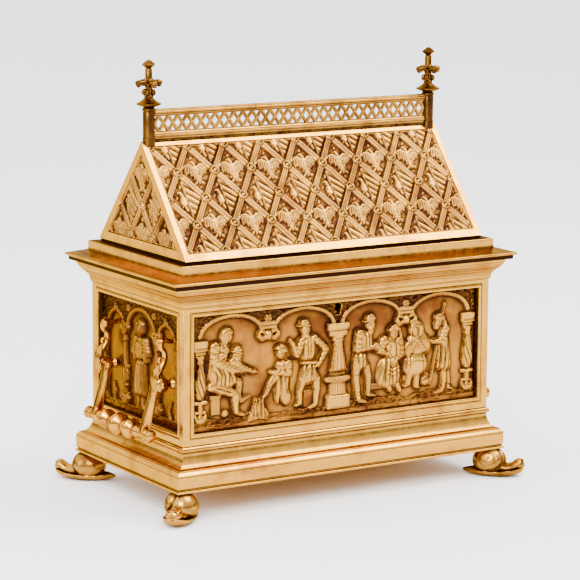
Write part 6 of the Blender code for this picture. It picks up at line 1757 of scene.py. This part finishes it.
def hanging_leaf(sx, y):
    """A pointed leaf in front of the barrel, ribbed down its middle and lobed at its edges."""
    stations = ((0.70, 0.50, 0.24), (0.58, 0.72, 0.62), (0.44, 0.88, 0.95), (0.30, 0.97, 0.86),
                (0.16, 1.0, 1.0),
                (0.02, 0.98, 0.80), (-0.12, 0.92, 0.74), (-0.24, 0.82, 0.44), (-0.33, 0.70, 0.14))
    loops, cavity = [], []
    for k, (up, out, wide) in enumerate(stations):
        outer, half, z = HALF_LENGTH + 8.0 * MM * out, 3.6 * MM * wide, PIVOT_Z + 15.8 * MM * up
        shape = ((-0.75, -1.5), (-1.0, -0.55), (-0.55, 0.05), (-0.16, -0.35), (0, 0.0), (0.16, -0.35),
                 (0.55, 0.05),
                 (1.0, -0.55), (0.75, -1.5), (0, -1.9))
        loops.append([(sx * (outer + depth * MM * min(1, wide + 0.4)), y + half * a, z) for a,
                      depth in shape])
        cavity.append(0.25 if k % 2 else 0.05)
    return loft("hanging_leaf", loops, cavity)


def build_bails():
    r, h = 6.4 * MM, GRIP_HALF
    for end, sx in (("left", -1), ("right", 1)):
        grip = Matrix.Translation((sx * GRIP_X, 0, GRIP_Z)) @ Matrix.Rotation(-math.pi / 2, 4, "X")
        side = [(0.02, 1.0), (0.05, 0.94), (0.085, 0.62), (0.105, 0.42), (0.15, 0.40), (0.17, 0.52),
                (0.20, 0.52), (0.22, 0.40),
                (0.275, 0.42), (0.30, 0.62), (0.335, 0.88), (0.37, 0.92), (0.40, 0.88), (0.43, 0.60),
                (0.455, 0.42),
                (0.50, 0.40), (0.53, 0.52), (0.56, 0.55), (0.60, 0.50), (0.66, 0.42), (0.80, 0.38),
                (0.83, 0.50), (0.85, 0.50),
                (0.87, 0.36), (0.90, 0.50), (0.94, 0.56), (0.975, 0.42), (0.995, 0.12)]
        profile = [(v * r, -a * h) for a, v in reversed(side)] + [(v * r, a * h) for a, v in side]
        shells = [turned("grip", profile, grip, 40, 0.25 * MM)]
        top, foot = Vector((sx * PIVOT_X, PIVOT_Z)), Vector((sx * GRIP_X, GRIP_Z))
        down = (foot - top).normalized()
        aside = Vector((-down.y, down.x))
        for sy in (-1, 1):
            outline = [foot + aside * 2.5 * MM + down * 0.6 * MM, foot - aside * 2.5 * MM + down * 0.6 * MM]
            outline += [foot - aside * 2.35 * MM - down * 6 * MM, top - aside * 2.1 * MM + down * 8 * MM]
            for i in range(17):
                a = math.pi * i / 16
                outline.append(top - aside * 2.7 * MM * math.cos(a) - down * 2.7 * MM * math.sin(a))
            outline += [top + aside * 2.1 * MM + down * 8 * MM, foot + aside * 2.35 * MM - down * 6 * MM]
            middle = sum(outline, Vector((0, 0))) / len(outline)
            loops = []
            for share, shrink in ((-0.5, 0.86), (-0.42, 0.97), (-0.3, 1.0), (0.3, 1.0), (0.42, 0.97),
                                  (0.5, 0.86)):
                y = sy * ARM_Y + share * ARM_THICKNESS
                loops.append([(middle.x + (p.x - middle.x) * (0.4 + 0.6 * shrink), y,
                               middle.y + (p.y - middle.y)
                               * (0.86 + 0.14 * shrink)) for p in outline])
            shells.append(loft("arm", loops))
            pin = Matrix.Translation((sx * PIVOT_X, sy * ARM_Y, PIVOT_Z)) @ Matrix.Rotation(sy * math.pi / 2,
                                                                                            4, "X")
            shells.append(turned("pin_head", [(1.9 * MM, 0), (2.2 * MM, 1.75 * MM), (1.7 * MM, 2.5 * MM),
                                              (0.3 * MM, 2.9 * MM)],
                                 pin, 28, 0.3 * MM))
        piece(f"{end}_bail_grip", merged(shells, f"{end}_bail_grip"), HANDLE, "handle_brass", f"{end}_handle",
              f"{end}_bail", sharp=45)


def dress_kept_nodes():
    """The roof's frame and the hinges keep their CAD shape, with fine arrises and new materials."""
    for name, material, width in (("roof_frame", POLISHED, 0.25 * MM),
                                  ("hinge_left_box_leaf", HINGE, 0.1 * MM),
                                  ("hinge_right_box_leaf", HINGE, 0.1 * MM),
                                  ("hinge_left_lid_leaf", HINGE, 0.1 * MM),
                                  ("hinge_right_lid_leaf", HINGE, 0.1 * MM)):
        item = frame["nodes"][name]
        for place in item.material_slots:
            place.material = material
        item.modifiers.new("joined_points", "WELD").merge_threshold = 1e-6
        soften = item.modifiers.new("arrises", "BEVEL")
        soften.width, soften.segments, soften.angle_limit = width, 2, math.radians(40)


# Camera, light and ground

CAMERA_PLACE = Vector((-0.7704, -1.2361, 0.3647))
CAMERA_YAW, CAMERA_PITCH, CAMERA_ROLL = 31.8988, 9.9669, 0.3734
LENS, SENSOR = 162.0, 36.0
LIT_PLACE = Vector((0, 0, 0.12))
LAMP_COLOR = (1.0, 0.97, 0.92)


def build_camera():
    yaw, pitch, roll = (math.radians(angle) for angle in (CAMERA_YAW, CAMERA_PITCH, CAMERA_ROLL))
    ahead = Vector((math.sin(yaw) * math.cos(pitch), math.cos(yaw) * math.cos(pitch), -math.sin(pitch)))
    level = Vector((math.cos(yaw), -math.sin(yaw), 0))
    over = level.cross(ahead)
    right = level * math.cos(roll) + over * math.sin(roll)
    up = over * math.cos(roll) - level * math.sin(roll)
    data = bpy.data.cameras.new("camera")
    data.lens, data.sensor_width = LENS, SENSOR
    data.clip_start, data.clip_end = 0.05, 60.0
    camera = bpy.data.objects.new("camera", data)
    camera.matrix_world = (Matrix.Translation(CAMERA_PLACE)
                           @ Matrix((right, up, -ahead)).transposed().to_4x4())
    bpy.context.collection.objects.link(camera)
    bpy.context.scene.camera = camera


def softbox(name, place, size, power):
    data = bpy.data.lights.new(name, "AREA")
    data.shape, data.size, data.size_y = "RECTANGLE", size[0], size[1]
    data.energy, data.color = power, LAMP_COLOR
    light = bpy.data.objects.new(name, data)
    light.location = place
    light.rotation_euler = (LIT_PLACE - Vector(place)).to_track_quat("-Z", "Y").to_euler()
    bpy.context.collection.objects.link(light)


def build_stage():
    bpy.ops.mesh.primitive_plane_add(size=40)
    ground = bpy.context.active_object
    ground.name = "ground"
    ground.data.materials.append(paper())
    world = bpy.data.worlds.new("studio")
    bpy.context.scene.world = world
    world.use_nodes = True
    nodes, links = world.node_tree.nodes, world.node_tree.links
    coordinates = nodes.new("ShaderNodeTexCoord")
    split = nodes.new("ShaderNodeSeparateXYZ")
    links.new(coordinates.outputs["Generated"], split.inputs[0])
    ramp = nodes.new("ShaderNodeValToRGB")
    ramp.color_ramp.interpolation = "EASE"
    ramp.color_ramp.elements[0].position, ramp.color_ramp.elements[0].color = 0.02, (0.07, 0.065, 0.06, 1)
    ramp.color_ramp.elements[1].position, ramp.color_ramp.elements[1].color = 1.0, (1.0, 1.0, 1.0, 1)
    for place, level in ((0.16, 0.20), (0.34, 0.95), (0.62, 0.90)):
        stop = ramp.color_ramp.elements.new(place)
        stop.color = (level, level, level * 1.02, 1)
    links.new(split.outputs["Z"], ramp.inputs[0])
    side = nodes.new("ShaderNodeMapRange")
    links.new(split.outputs["X"], side.inputs["Value"])
    for label, number in (("From Min", -0.6), ("From Max", 0.9), ("To Min", 1.08), ("To Max", 0.62)):
        side.inputs[label].default_value = number
    shade = nodes.new("ShaderNodeVectorMath")
    shade.operation = "SCALE"
    links.new(ramp.outputs[0], shade.inputs[0])
    links.new(side.outputs["Result"], shade.inputs["Scale"])
    links.new(shade.outputs["Vector"], nodes["Background"].inputs["Color"])
    nodes["Background"].inputs["Strength"].default_value = 3.5
    softbox("key", (-0.75, -1.15, 1.05), (0.6, 0.6), 38)
    softbox("top", (0.75, -0.50, 1.35), (0.8, 0.6), 27)
    softbox("side", (-1.5, 0.25, 0.75), (0.5, 0.9), 8)


build_plinth()
build_floor()
build_cornice()
build_lid_moulding()
build_body_frame()
build_reliefs()
build_roof_panels()
build_crest()
build_finials()
build_feet()
build_brackets()
build_bails()
dress_kept_nodes()
build_camera()
build_stage()
